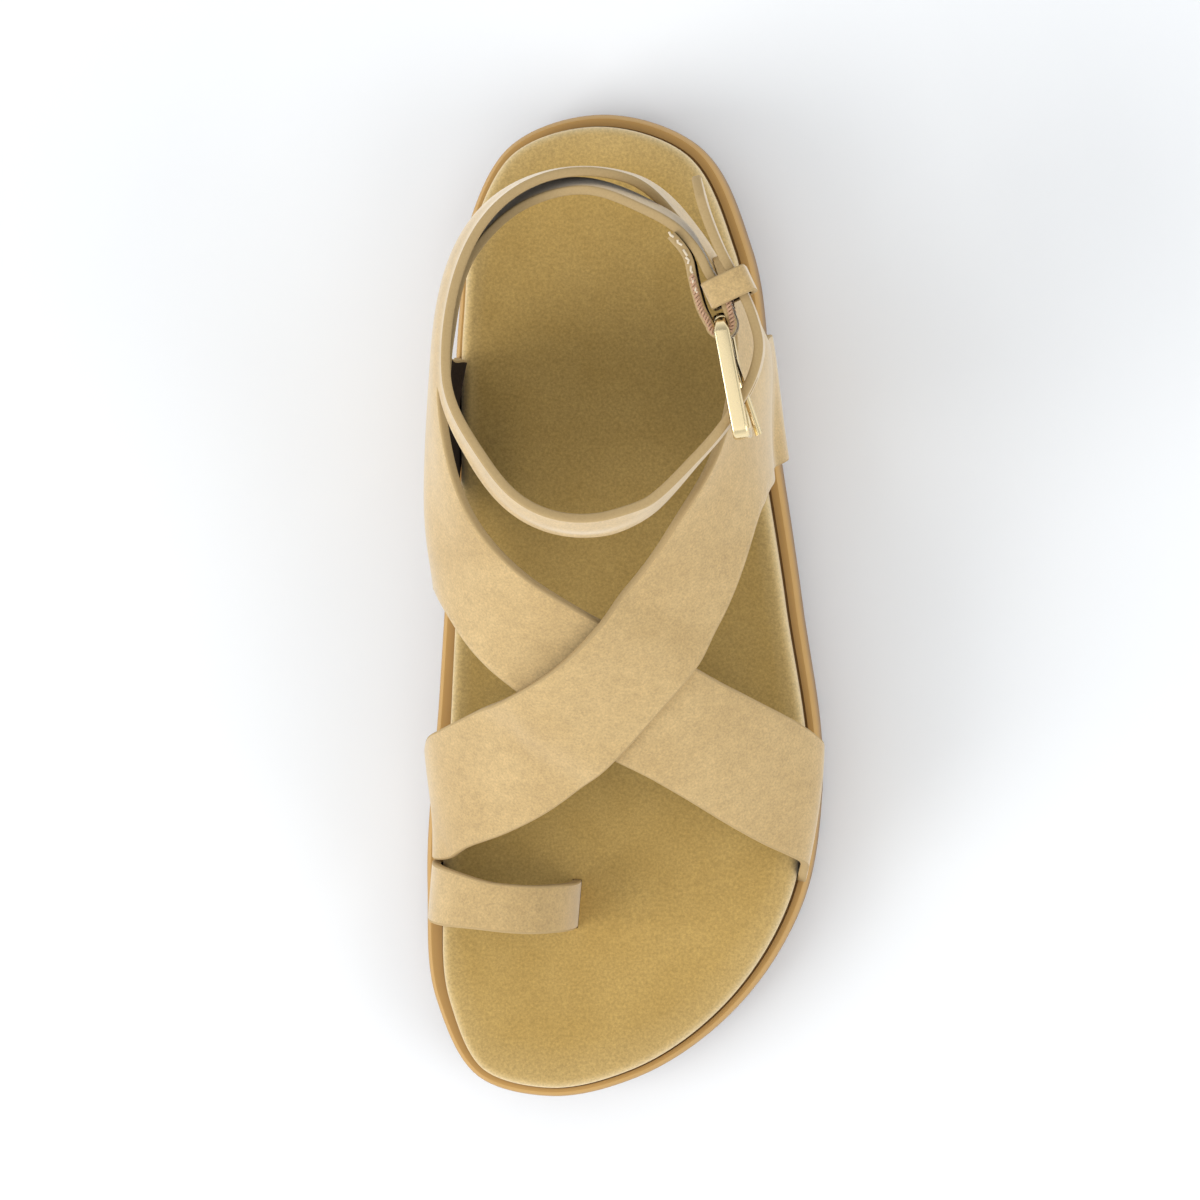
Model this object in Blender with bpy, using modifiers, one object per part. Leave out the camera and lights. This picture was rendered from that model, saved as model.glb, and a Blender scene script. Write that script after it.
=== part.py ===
"""Ankle wrap sandal for the left foot, standing on its sole.

Sizes are in millimetres and turned to metres when a mesh is made.
+X is the outer (lateral) side, +Y the heel, -Y the toe, and the floor is at zero height.
Turns go round the foot in degrees: 0 outer side, 90 heel, 180 inner side, 270 instep.
"""
import math

import bmesh
import bpy
import numpy as np
from mathutils import Matrix, Vector
from mathutils.geometry import delaunay_2d_cdt

MM = 0.001
GAP = 0.3

STRAP_THICK = 2.3
BAND_WIDTH = 12.6
TOE_LOOP_WIDTH = 12.6
LAP_OVERLAP = 0.9

TOE_SPRING = 8.0
TOE_BREAK = -86.0
TOE_END = -131.0
HEEL_BEVEL = 2.5
HEEL_BREAK = 106.0
HEEL_END = 128.0
WAIST_RISE = 2.5
WAIST_START = -26.0
WAIST_END = 44.0
LUG_PITCH = 11.0
LUG_GROOVE = 2.6
LUG_DEPTH = 2.2

TURN_SCALE = 0.8
HEIGHT_SCALE = 1.3
PATTERN_STEP = 5.0
TUCK_HEIGHT = 11.0
TUCK_RAMP = 12.0
LIFT_RAMP = 7.0
LAP_START = 74.0
LAP_RAMP = 26.0

SOLE_POINTS = 80
UNDERSIDE_RINGS = (0.12, 0.22, 0.36, 0.5, 0.65, 0.82, 0.93)
ORIGIN_X = 8.136
ORIGIN_Y = -1.334
SOLE_MIDDLE = np.array((6.0, -2.0))

OUTLINE = (
    # place, x, y, width of the ledge left beside the footbed
    ("heel end", 2.0, 127.8, 4.0),
    ("outer heel corner", 27.8, 119.3, 4.0),
    ("outer heel", 41.0, 93.0, 3.9),
    ("outer waist", 46.4, 53.0, 4.0),
    ("outer joint", 54.3, 0.0, 3.8),
    ("outer ball", 59.6, -50.0, 3.4),
    ("little toe", 54.7, -79.5, 3.4),
    ("outer toe side", 38.7, -105.7, 3.2),
    ("outer toe corner", 10.9, -125.6, 3.0),
    ("toe end", -12.0, -130.5, 3.0),
    ("inner toe corner", -30.7, -125.6, 3.4),
    ("big toe", -42.1, -105.7, 4.4),
    ("inner ball", -44.7, -75.0, 5.2),
    ("inner joint", -41.4, -25.0, 4.4),
    ("inner waist", -37.8, 30.0, 3.6),
    ("inner heel", -35.8, 74.0, 2.6),
    ("inner heel side", -32.8, 100.0, 2.9),
    ("inner heel corner", -22.5, 119.3, 3.4),
)

PROFILE = (
    # y, seat of the footbed, rim of the footbed, depth of its dish
    (130.0, 25.0, 35.0, 6.0),
    (100.0, 25.0, 34.8, 6.5),
    (50.0, 23.5, 33.0, 5.0),
    (10.0, 21.5, 30.5, 3.4),
    (-30.0, 19.6, 28.0, 2.2),
    (-80.0, 18.8, 26.4, 1.8),
    (-110.0, 20.0, 27.3, 1.8),
    (-132.0, 22.5, 29.5, 1.8),
)

SOLE_SIDE = (
    # inset from the outline, share of the height from the ground to the ledge
    (2.4, 0.0),
    (0.7, 0.12),
    (0.0, 0.4),
    (0.0, 0.72),
    (0.5, 0.91),
    (1.7, 1.0),
)

FOOTBED_BUMPS = (
    # height, x, y, reach across, reach along
    (4.0, -22.0, 28.0, 13.0, 34.0),
    (1.8, 6.0, -8.0, 17.0, 16.0),
    (1.2, 4.0, -84.0, 34.0, 8.0),
)

LAST = (
    # height, instep y, heel y, y of the widest place, inner x, outer x, fullness of the heel
    (12.0, -134.0, 120.0, -50.0, -41.0, 58.0, 0.0),
    (24.0, -124.0, 120.0, -43.0, -41.0, 58.5, 0.0),
    (36.0, -102.0, 119.0, -33.0, -41.0, 59.4, 0.0),
    (50.0, -72.0, 118.0, -13.0, -40.0, 53.2, 0.05),
    (65.0, -44.0, 114.0, 17.0, -38.0, 47.0, 0.15),
    (80.0, -15.0, 109.5, 45.0, -35.0, 42.0, 0.25),
    (95.0, 10.0, 107.2, 57.0, -32.0, 38.0, 0.22),
    (101.0, 18.8, 106.8, 58.0, -29.8, 37.5, 0.18),
    (108.0, 21.4, 106.3, 58.0, -28.7, 37.0, 0.15),
    (115.0, 24.0, 105.8, 58.0, -28.0, 36.5, 0.15),
    (125.0, 27.0, 105.0, 58.0, -27.5, 36.0, 0.15),
)

# Where a side of the last stands off its plain shape: the inner arch, the inner front of the ankle,
# the outer waist and the flare of the outer tab.
SIDE_SHAPING = (
    # side (-1 inner, 1 outer), amount towards the outer side, y, height, reach along, reach in height
    (-1.0, 3.2, 0.0, 58.0, 17.0, 15.0),
    (-1.0, 4.2, 35.0, 112.0, 14.0, 14.0),
    (1.0, -6.2, 36.0, 42.0, 24.0, 14.0),
    (1.0, 4.0, 68.0, 66.0, 16.0, 18.0),
)
OUTER_TAB_STEP = 1.1
OUTER_TAB_Y = 45.0
OUTER_TAB_REACH = 30.0

# Each strap edge is a row of places on the last: turn round the foot, height over the floor.
UNDER_STRAP_REAR = (
    (357.0, 36.6), (353.6, 41.8), (348.2, 47.1), (331.7, 58.7), (317.2, 68.0), (309.1, 72.7), (292.0, 81.5),
    (276.0, 86.9), (261.5, 90.1), (245.7, 91.7), (235.1, 92.3), (224.7, 92.4), (212.2, 92.7),
    (201.2, 93.9), (195.4, 95.3), (190.0, 96.6),
)
UNDER_STRAP_FRONT = (
    (335.2, 31.8), (328.0, 39.0), (319.3, 45.2), (307.7, 52.7), (296.3, 59.6), (284.5, 65.2), (275.7, 67.8),
    (259.0, 71.6), (243.0, 73.4), (236.0, 73.0), (226.8, 72.1), (218.1, 71.0), (205.9, 68.7),
    (197.0, 66.0), (188.0, 62.4), (182.6, 60.0), (177.7, 57.3), (173.7, 54.4), (166.7, 48.0),
    (160.6, 41.0),
)
OVER_STRAP_REAR = (
    (191.8, 44.6), (205.9, 53.9), (217.8, 60.8), (227.4, 66.2), (236.1, 70.4), (243.0, 73.6), (253.2, 78.2),
    (260.7, 81.6), (268.4, 84.9), (276.1, 87.9), (284.0, 90.2), (292.2, 92.0), (302.0, 94.1), (312.1, 96.2),
    (324.0, 96.6), (342.0, 95.0), (360.0, 92.0), (378.0, 89.5), (393.0, 88.0),
)
OVER_STRAP_FRONT = (
    (199.5, 27.0), (207.0, 34.5), (216.5, 42.1), (234.6, 51.2), (249.9, 58.0), (264.2, 63.9), (275.7, 67.8),
    (285.8, 70.7), (293.3, 72.3), (301.1, 73.2), (308.0, 73.6), (320.7, 73.8), (333.4, 73.8), (343.9, 73.3),
    (352.0, 72.1), (357.1, 70.6), (363.1, 68.0), (368.0, 64.5), (372.6, 60.0), (376.0, 56.5),
    (382.7, 46.4), (388.0, 34.0),
)
INNER_TAB_BACK = ((143.0, 45.0), (149.0, 63.0), (149.0, 74.0), (143.0, 82.0))
OUTER_TAB_BACK = ((400.0, 45.0), (392.0, 62.0), (390.0, 72.0), (392.0, 78.5))
HEEL_BAND_LOW = ((132.0, 87.8), (115.0, 90.6), (90.0, 90.6), (65.0, 86.5), (45.0, 79.5))
HEEL_BAND_TOP = (
    (45.0, 92.0), (65.0, 99.5), (90.0, 103.5), (115.0, 106.5), (140.0, 109.0), (165.0, 111.0),
    (183.0, 112.0),
)
FRONT_BAND_LOW = (
    (324.0, 100.7), (298.0, 101.0), (272.0, 101.2), (250.0, 101.2), (226.0, 100.9), (208.0, 100.2),
    (195.0, 99.2),
)
FRONT_BAND_TOP = ((205.0, 113.0), (235.0, 113.8), (272.0, 113.8), (298.0, 113.6), (324.0, 113.3))
FORK = (184.0, 98.0)
HEEL_BAND_END = ((22.0, 82.0), (22.0, 69.0))
OUTER_HORN = ((398.0, 87.7), (397.0, 82.0))
SOLE_ENDS = {
    # strap end at the sole: turns of its first and last corner
    "under strap, outer ball": (341.0, 362.0),
    "under strap, inner waist": (150.0, 139.0),
    "over strap, inner ball": (194.0, 177.0),
    "over strap, outer waist": (390.5, 404.0),
}

FREE_END = (
    # turn, x, y, lean of the band in degrees, from where it leaves the last to its tip
    (280.0, 11.0, 22.6, 17.0),
    (300.0, 21.0, 27.1, 7.0),
    (318.0, 31.0, 37.4, 1.0),
    (333.0, 37.6, 45.0, 0.0),
    (344.0, 41.6, 50.8, 0.0),
    (356.0, 45.2, 57.8, 0.0),
    (367.0, 46.6, 64.3, 0.0),
    (379.0, 45.2, 71.0, 0.0),
    (391.0, 42.5, 77.5, 0.0),
    (408.0, 37.2, 87.5, 0.0),
    (424.0, 33.4, 97.0, 0.0),
    (440.0, 31.0, 105.8, 0.0),
    (448.0, 29.8, 110.4, 0.0),
)
FREE_START = 276.0
FREE_BLEND = 30.0
BAND_MIDDLE = 107.2
TIP_TURN = 438.5
TIP_BACK = 8.0

BUCKLE_STRAP = (
    # turn, middle height, stand-off of its middle from the last
    (182.0, 79.0, -1.7),
    (165.0, 82.0, -1.8),
    (140.0, 87.0, -2.2),
    (115.0, 93.0, -2.9),
    (90.0, 98.5, -3.3),
    (65.0, 102.5, -3.5),
    (45.0, 105.8, 0.2),
)
CHAPE_INSIDE = (
    # way back from the bar, step to the inside of the outer ply, both in the strap's own plane
    (4.0, -6.8),
    (9.0, -7.4),
    (13.0, -7.6),
    (17.0, -7.7),
    (21.0, -9.3),
    (23.5, -10.9),
)
BUCKLE_ENTRY = (
    # way back from the bar, step out from the bar's line, where the strap goes under the keeper to the pin
    (17.0, -2.0),
    (13.0, -0.9),
    (8.5, 1.0),
)
BAR_BACK = np.array((38.6, 69.9))
BAR_FRONT = np.array((43.6, 43.0))
FRAME_MIDDLE = 107.2
FRAME_WINDOW = 14.4
FRAME_BAR = 2.6
FRAME_DEPTH = 4.0
FRAME_CORNER = 2.6
PIN_RADIUS = 1.3
PRONG_RADIUS = 1.0
PRONG_REACH = 1.0
EYE_RADIUS = 2.5
EYE_HALF = 0.8

KEEPER_AT = np.array((40.3, 78.9))
KEEPER_WIDE = 7.0
KEEPER_THICK = 1.5
KEEPER_SPAN = 11.8

TOE_LOOP = (
    # x, y, z of the loop's middle, from the big toe's inner side over to its slot in the footbed
    (-31.5, -77.2, 45.5),
    (-23.0, -78.4, 48.6),
    (-14.0, -79.0, 48.0),
    (-7.8, -79.0, 43.0),
    (-5.0, -79.1, 35.0),
    (-4.5, -79.1, 28.0),
)
TOE_LOOP_INNER_END = 15.4
TOE_LOOP_INNER_Y = -75.6
TOE_LOOP_SKEW = 0.077
TOE_SLOT_DEPTH = 4.0


def smooth(share):
    """An easy ramp from 0 to 1."""
    share = np.clip(share, 0.0, 1.0)
    return share * share * (3.0 - 2.0 * share)


def flow(knots, values, at):
    """A smooth curve through the values at the knots, read at some places."""
    knots = np.asarray(knots, float)
    values = np.asarray(values, float)
    at = np.asarray(at, float)
    slopes = np.gradient(values, knots, axis=0)
    index = np.clip(np.searchsorted(knots, at, side="right") - 1, 0, len(knots) - 2)
    span = knots[index + 1] - knots[index]
    share = np.clip((at - knots[index]) / span, 0.0, 1.0)
    if values.ndim > 1:
        span = span[..., None]
        share = share[..., None]
    ease = share * share * (3.0 - 2.0 * share)
    bend = slopes[index] * (1.0 - share) - slopes[index + 1] * share
    return values[index] * (1.0 - ease) + values[index + 1] * ease + span * share * (1.0 - share) * bend


def path_through(rows, step):
    """Points a step apart on the smooth path through the rows."""
    rows = np.asarray(rows, float)
    reach = np.concatenate(((0.0,), np.cumsum(np.linalg.norm(np.diff(rows, axis=0), axis=1))))
    count = max(2, int(round(reach[-1] / step)) + 1)
    return flow(reach, rows, np.linspace(0.0, reach[-1], count))


def loop_through(rows, count):
    """A closed smooth loop through the rows."""
    rows = np.asarray(rows, float)
    wrapped = np.vstack((rows[-3:], rows, rows[:4]))
    reach = np.concatenate(((0.0,), np.cumsum(np.linalg.norm(np.diff(wrapped[:, :2], axis=0), axis=1))))
    places = np.linspace(reach[3], reach[3 + len(rows)], count, endpoint=False)
    return flow(reach, wrapped, places)


def side_normals(loop):
    """Outward directions of a loop that runs heel, outer side, toe, inner side."""
    along = np.roll(loop, -1, axis=0) - np.roll(loop, 1, axis=0)
    normals = np.stack((-along[:, 1], along[:, 0]), axis=1)
    return normals / np.linalg.norm(normals, axis=1, keepdims=True)


OUTLINE_ROWS = [row[1:] for row in OUTLINE]
SOLE_LOOP = loop_through(OUTLINE_ROWS, SOLE_POINTS)
SOLE_EDGE = SOLE_LOOP[:, :2]
SOLE_OUT = side_normals(SOLE_EDGE)
FOOTBED_EDGE = SOLE_EDGE - SOLE_OUT * SOLE_LOOP[:, 2:3]


def ground(y):
    """Height of the underside: flat under heel and ball, raised at the waist, toe and heel end."""
    toe = TOE_SPRING * np.clip((TOE_BREAK - y) / (TOE_BREAK - TOE_END), 0.0, 1.2) ** 2
    heel = HEEL_BEVEL * np.clip((y - HEEL_BREAK) / (HEEL_END - HEEL_BREAK), 0.0, 1.2) ** 2
    waist_share = np.clip((y - WAIST_START) / (WAIST_END - WAIST_START), 0.0, 1.0)
    waist = WAIST_RISE * np.sin(math.pi * waist_share) ** 2
    return toe + heel + waist


def profile(y):
    """Seat height, rim height and dish depth of the footbed at a place along the foot."""
    rows = np.array(PROFILE)[::-1]
    return np.moveaxis(flow(rows[:, 0], rows[:, 1:], y), -1, 0)


def footbed_edge_x(y, outer):
    """Where the footbed's side stands at a place along the foot."""
    heel = int(np.argmax(FOOTBED_EDGE[:, 1]))
    toe = int(np.argmin(FOOTBED_EDGE[:, 1]))
    outer_run = FOOTBED_EDGE[heel:toe + 1][::-1]
    inner_run = np.vstack((FOOTBED_EDGE[toe:], FOOTBED_EDGE[:heel + 1]))
    return np.where(outer, np.interp(y, outer_run[:, 1], outer_run[:, 0]),
                    np.interp(y, inner_run[:, 1], inner_run[:, 0]))


def on_last(turn, height):
    """A place on the last, tucked in beside the footbed near the sole."""
    angle = np.radians(turn)
    rows = np.array(LAST)
    instep, heel, widest, inner, outer, fullness = np.moveaxis(flow(rows[:, 0], rows[:, 1:], height), -1, 0)
    across = np.cos(angle)
    along = np.sin(angle)
    round_heel = np.where(along > 0.0, 1.0 + fullness * along ** 2, 1.0)
    x = (inner + outer) / 2.0 + across * round_heel * (outer - inner) / 2.0
    y = widest + along * np.where(along > 0.0, heel - widest, widest - instep)
    for side, amount, at_y, at_height, reach_y, reach_height in SIDE_SHAPING:
        near = np.exp(-((y - at_y) / reach_y) ** 2 - ((height - at_height) / reach_height) ** 2)
        x = x + np.clip(side * across, 0.0, 1.0) * amount * near
    rim = profile(y)[1]
    step = GAP + OUTER_TAB_STEP * np.exp(-((y - OUTER_TAB_Y) / OUTER_TAB_REACH) ** 2)
    beside = footbed_edge_x(y, across > 0.0) + np.where(across > 0.0, step, -GAP)
    tuck = smooth((rim + TUCK_HEIGHT - height) / TUCK_RAMP)
    return np.stack((x + tuck * (beside - x), y, height + 0.0 * x), axis=-1)


def outward(turn, height):
    """Direction straight out of the last."""
    round_step = on_last(turn + 0.5, height) - on_last(turn - 0.5, height)
    up_step = on_last(turn, height + 0.5) - on_last(turn, height - 0.5)
    normal = np.cross(round_step, up_step)
    return normal / np.linalg.norm(normal, axis=-1, keepdims=True)


def on_free_end(turn, height):
    """A place on the band where it has left the last for the buckle and the keeper."""
    rows = np.array(FREE_END)
    x, y, lean = np.moveaxis(flow(rows[:, 0], rows[:, 1:], turn), -1, 0)
    inner_turn = np.clip(turn, rows[0, 0] + 1.0, rows[-1, 0] - 1.0)
    plan = rows[:, 1:3]
    ahead = flow(rows[:, 0], plan, inner_turn + 1.0) - flow(rows[:, 0], plan, inner_turn - 1.0)
    ahead = ahead / np.linalg.norm(ahead, axis=-1, keepdims=True)
    inside = np.stack((-ahead[..., 1], ahead[..., 0]), axis=-1)
    shift = np.tan(np.radians(lean)) * (height - BAND_MIDDLE)
    return np.stack((x + inside[..., 0] * shift, y + inside[..., 1] * shift, height + 0.0 * x), axis=-1)


def inner_piece_place(turn, height):
    """Places of the piece that holds the under strap, inner tab, heel band and front band."""
    lap = -(STRAP_THICK - LAP_OVERLAP) * smooth((LAP_START - turn) / LAP_RAMP)
    held = on_last(turn, height) + outward(turn, height) * lap[..., None]
    free = smooth((turn - FREE_START) / FREE_BLEND) * (height > BAND_MIDDLE - BAND_WIDTH)
    return held + (on_free_end(turn, height) - held) * free[..., None]


def outer_piece_place(turn, height):
    """Places of the over strap and outer tab, lifted where they cross the under strap."""
    rear = np.array(UNDER_STRAP_REAR)[::-1]
    front = np.array(UNDER_STRAP_FRONT[:-2])[::-1]
    below = np.interp(turn, front[:, 0], front[:, 1]) - height
    above = height - np.interp(turn, rear[:, 0], rear[:, 1])
    clear = np.maximum(np.maximum(below, above), 0.0)
    lift = (STRAP_THICK - LAP_OVERLAP) * smooth(1.0 - clear / LIFT_RAMP)
    return on_last(turn, height) + outward(turn, height) * lift[..., None]


def sole_corner(turn):
    """The place in the pattern where a strap edge meets the outsole's ledge."""
    height = 22.0
    for _ in range(8):
        y = on_last(np.array(turn), np.array(height))[1]
        height = float(profile(y)[0]) + GAP
    return (turn, height)


def sole_end(name):
    """The row of places along a strap's end at the sole, between its two corners."""
    first, last = SOLE_ENDS[name]
    return [sole_corner(turn) for turn in np.linspace(first, last, 5)]


def pattern(name, edges, place, collection):
    """A strap piece cut to an outline on the last and given its thickness."""
    scale = np.array((TURN_SCALE, HEIGHT_SCALE))
    border = []
    for edge in edges:
        points = path_through(np.array(edge) * scale, PATTERN_STEP)
        border.extend(points[1:] if border and np.allclose(border[-1], points[0]) else points)
    border = np.array(border[:-1] if np.allclose(border[0], border[-1]) else border)
    low = border.min(axis=0)
    high = border.max(axis=0)
    columns = np.arange(low[0], high[0], PATTERN_STEP)
    lines = np.arange(low[1], high[1], PATTERN_STEP)
    grid_u, grid_v = np.meshgrid(columns, lines)
    grid = np.stack((grid_u.ravel(), grid_v.ravel()), axis=1)
    start = border
    end = np.roll(border, -1, axis=0)
    crossings = np.zeros(len(grid), int)
    nearest = np.full(len(grid), np.inf)
    for a, b in zip(start, end):
        over = (a[1] > grid[:, 1]) != (b[1] > grid[:, 1])
        with np.errstate(divide="ignore", invalid="ignore"):
            at = a[0] + (grid[:, 1] - a[1]) / (b[1] - a[1]) * (b[0] - a[0])
        crossings += over & (grid[:, 0] < at)
        share = np.clip(((grid - a) @ (b - a)) / ((b - a) @ (b - a)), 0.0, 1.0)
        nearest = np.minimum(nearest, np.linalg.norm(grid - a - share[:, None] * (b - a), axis=1))
    grid = grid[(crossings % 2 == 1) & (nearest > 0.55 * PATTERN_STEP)]
    flat = [Vector(point) for point in np.vstack((border, grid))]
    ring = [(i, (i + 1) % len(border)) for i in range(len(border))]
    flat, _, faces, _, _, _ = delaunay_2d_cdt(flat, ring, [list(range(len(border)))], 1, 1e-5)
    places = np.array(flat) / scale
    points = place(places[:, 0], places[:, 1])
    mesh = bpy.data.meshes.new(name)
    mesh.from_pydata([Vector(point) * MM for point in points], [], faces)
    piece = add(name, mesh, collection)
    middle = outward(places[:, 0], places[:, 1])
    facing = sum(polygon.normal.dot(Vector(middle[polygon.vertices[0]])) for polygon in mesh.polygons)
    if facing < 0.0:
        mesh.flip_normals()
    wall = piece.modifiers.new("strap thickness", "SOLIDIFY")
    wall.thickness = STRAP_THICK * MM
    wall.offset = 1.0
    wall.use_even_offset = True
    return piece


def add(name, mesh, collection):
    """A new object in a collection."""
    piece = bpy.data.objects.new(name, mesh)
    collection.objects.link(piece)
    return piece


def skin(name, rings, first_middle, last_middle, collection):
    """A closed solid through rings of points, with a fan at each end."""
    shell = bmesh.new()
    rows = [[shell.verts.new(Vector(point) * MM) for point in ring] for ring in rings]
    count = len(rows[0])
    for row, following in zip(rows, rows[1:]):
        for i in range(count):
            j = (i + 1) % count
            shell.faces.new((row[i], row[j], following[j], following[i]))
    for row, middle in ((rows[0], first_middle), (rows[-1], last_middle)):
        centre = shell.verts.new(Vector(middle) * MM)
        for i in range(count):
            shell.faces.new((row[i], row[(i + 1) % count], centre))
    bmesh.ops.recalc_face_normals(shell, faces=shell.faces)
    mesh = bpy.data.meshes.new(name)
    shell.to_mesh(mesh)
    shell.free()
    return add(name, mesh, collection)


def ribbon(name, middles, ups, width, collection):
    """A strap of constant thickness along a path; its width, one or one for each place, is along the ups."""
    middles = np.asarray(middles, float)
    ups = np.asarray(ups, float)
    along = np.gradient(middles, axis=0)
    sides = np.cross(along, ups)
    sides = sides / np.linalg.norm(sides, axis=1, keepdims=True) * STRAP_THICK / 2.0
    ups = ups / np.linalg.norm(ups, axis=1, keepdims=True) * np.reshape(width, (-1, 1)) / 2.0
    corners = (sides + ups, ups - sides, -sides - ups, sides - ups)
    rings = np.stack([middles + corner for corner in corners], axis=1)
    strap = bmesh.new()
    rows = [[strap.verts.new(Vector(point) * MM) for point in ring] for ring in rings]
    for row, following in zip(rows, rows[1:]):
        for i in range(4):
            strap.faces.new((row[i], row[(i + 1) % 4], following[(i + 1) % 4], following[i]))
    strap.faces.new(rows[0])
    strap.faces.new(rows[-1])
    bmesh.ops.recalc_face_normals(strap, faces=strap.faces)
    mesh = bpy.data.meshes.new(name)
    strap.to_mesh(mesh)
    strap.free()
    return add(name, mesh, collection)


def combine(piece, other, operation):
    """Join another solid to a piece, or cut it away."""
    step = piece.modifiers.new(operation.lower() + " " + other.name, "BOOLEAN")
    step.operation = operation
    step.object = other


def paint(piece, colour, roughness, metallic=0.0):
    """A plain material in the piece's own colour."""
    material = bpy.data.materials.new(piece.name)
    material.use_nodes = True
    shader = material.node_tree.nodes["Principled BSDF"]
    shader.inputs["Base Color"].default_value = (*colour, 1.0)
    shader.inputs["Roughness"].default_value = roughness
    shader.inputs["Metallic"].default_value = metallic
    piece.data.materials.append(material)


def hide_guide(piece):
    """Mark a cutter or a half of a join as a guide."""
    piece.hide_render = True
    piece.display_type = "WIRE"


def box_guide(name, size, place, guides):
    """A box to cut with; place is a matrix in metres."""
    shape = bmesh.new()
    bmesh.ops.create_cube(shape, size=1.0, matrix=place @ Matrix.Diagonal((*(Vector(size) * MM), 1.0)))
    mesh = bpy.data.meshes.new(name)
    shape.to_mesh(mesh)
    shape.free()
    guide = add(name, mesh, guides)
    hide_guide(guide)
    return guide


def ring_at(loop, heights):
    """A loop of plan points with heights of its own."""
    return np.column_stack((loop, heights))


def shrunk(loop, share):
    """A loop drawn in towards the middle of the sole."""
    return SOLE_MIDDLE + (loop - SOLE_MIDDLE) * share


def footbed_top(loop, share):
    """Heights of the footbed's moulded top; the share is 1 at its rim and 0 in the middle."""
    x, y = loop[:, 0], loop[:, 1]
    _, rim, depth = profile(y)
    top = rim - depth * (1.0 - share ** 2.5)
    for height, at_x, at_y, reach_x, reach_y in FOOTBED_BUMPS:
        bump = np.exp(-((x - at_x) / reach_x) ** 2 - ((y - at_y) / reach_y) ** 2)
        top = top + (1.0 - share ** 4) * height * bump
    return top


def build_outsole(parts, guides):
    """Moulded rubber sole with waist, toe spring, a ledge round the footbed and cross lugs."""
    inset_under = SOLE_EDGE - SOLE_OUT * SOLE_SIDE[0][0]
    rings = []
    for share in UNDERSIDE_RINGS:
        loop = shrunk(inset_under, share)
        rings.append(ring_at(loop, ground(loop[:, 1])))
    for inset, share in SOLE_SIDE:
        loop = SOLE_EDGE - SOLE_OUT * inset
        low = ground(loop[:, 1])
        rings.append(ring_at(loop, low + share * (profile(loop[:, 1])[0] - low)))
    for share in (0.98, 0.6, 0.3):
        loop = shrunk(FOOTBED_EDGE, share)
        rings.append(ring_at(loop, profile(loop[:, 1])[0]))
    x, y = SOLE_MIDDLE
    outsole = skin("outsole", rings, (x, y, float(ground(y))), (x, y, float(profile(y)[0])), parts)
    grooves = bmesh.new()
    size = Matrix.Diagonal((140.0 * MM, LUG_GROOVE * MM, 2.0 * LUG_DEPTH * MM, 1.0))
    forefoot = np.arange(TOE_BREAK + 4.0, WAIST_START, LUG_PITCH)
    heel = np.arange(WAIST_END + 6.0, HEEL_BREAK, LUG_PITCH)
    for y in (*forefoot, *heel):
        bmesh.ops.create_cube(grooves, size=1.0, matrix=Matrix.Translation((5.0 * MM, y * MM, 0.0)) @ size)
    mesh = bpy.data.meshes.new("lug grooves")
    grooves.to_mesh(mesh)
    grooves.free()
    cutter = add("lug grooves", mesh, guides)
    hide_guide(cutter)
    combine(outsole, cutter, "DIFFERENCE")
    paint(outsole, (0.40, 0.24, 0.09), 0.55)


def build_footbed(parts, guides):
    """Moulded footbed under a suede cover, with heel cup, arch, ball pad and a slot for the toe loop."""
    rings = []
    for inset, share in ((0.0, 0.3), (0.0, 0.65), (0.6, 1.0)):
        loop = shrunk(FOOTBED_EDGE - SOLE_OUT * inset, share)
        rings.append(ring_at(loop, profile(loop[:, 1])[0] + GAP))
    for inset, from_seat, drop in ((0.0, 0.9, None), (0.0, None, 2.4), (0.7, None, 0.8), (2.2, None, 0.0)):
        loop = FOOTBED_EDGE - SOLE_OUT * inset
        seat, rim, _ = profile(loop[:, 1])
        rings.append(ring_at(loop, seat + GAP + from_seat if drop is None else rim - drop))
    rim_loop = FOOTBED_EDGE - SOLE_OUT * 2.2
    for share in (0.9, 0.75, 0.55, 0.3):
        loop = shrunk(rim_loop, share)
        rings.append(ring_at(loop, footbed_top(loop, share)))
    x, y = SOLE_MIDDLE
    seat = float(profile(y)[0]) + GAP
    top = float(footbed_top(SOLE_MIDDLE[None, :], 0.0)[0])
    footbed = skin("footbed", rings, (x, y, seat), (x, y, top), parts)
    slot_x, slot_y, _ = TOE_LOOP[-1]
    slot_low = float(profile(slot_y)[0]) + TOE_SLOT_DEPTH
    slot_size = (STRAP_THICK + 2.0 * GAP, TOE_LOOP_WIDTH + 2.0 * GAP, 20.0)
    skew = Matrix.Rotation(-math.atan(TOE_LOOP_SKEW), 4, "Z")
    place = Matrix.Translation(Vector((slot_x, slot_y, slot_low + 10.0)) * MM) @ skew
    combine(footbed, box_guide("toe loop slot", slot_size, place, guides), "DIFFERENCE")
    paint(footbed, (0.40, 0.27, 0.10), 0.9)


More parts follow.
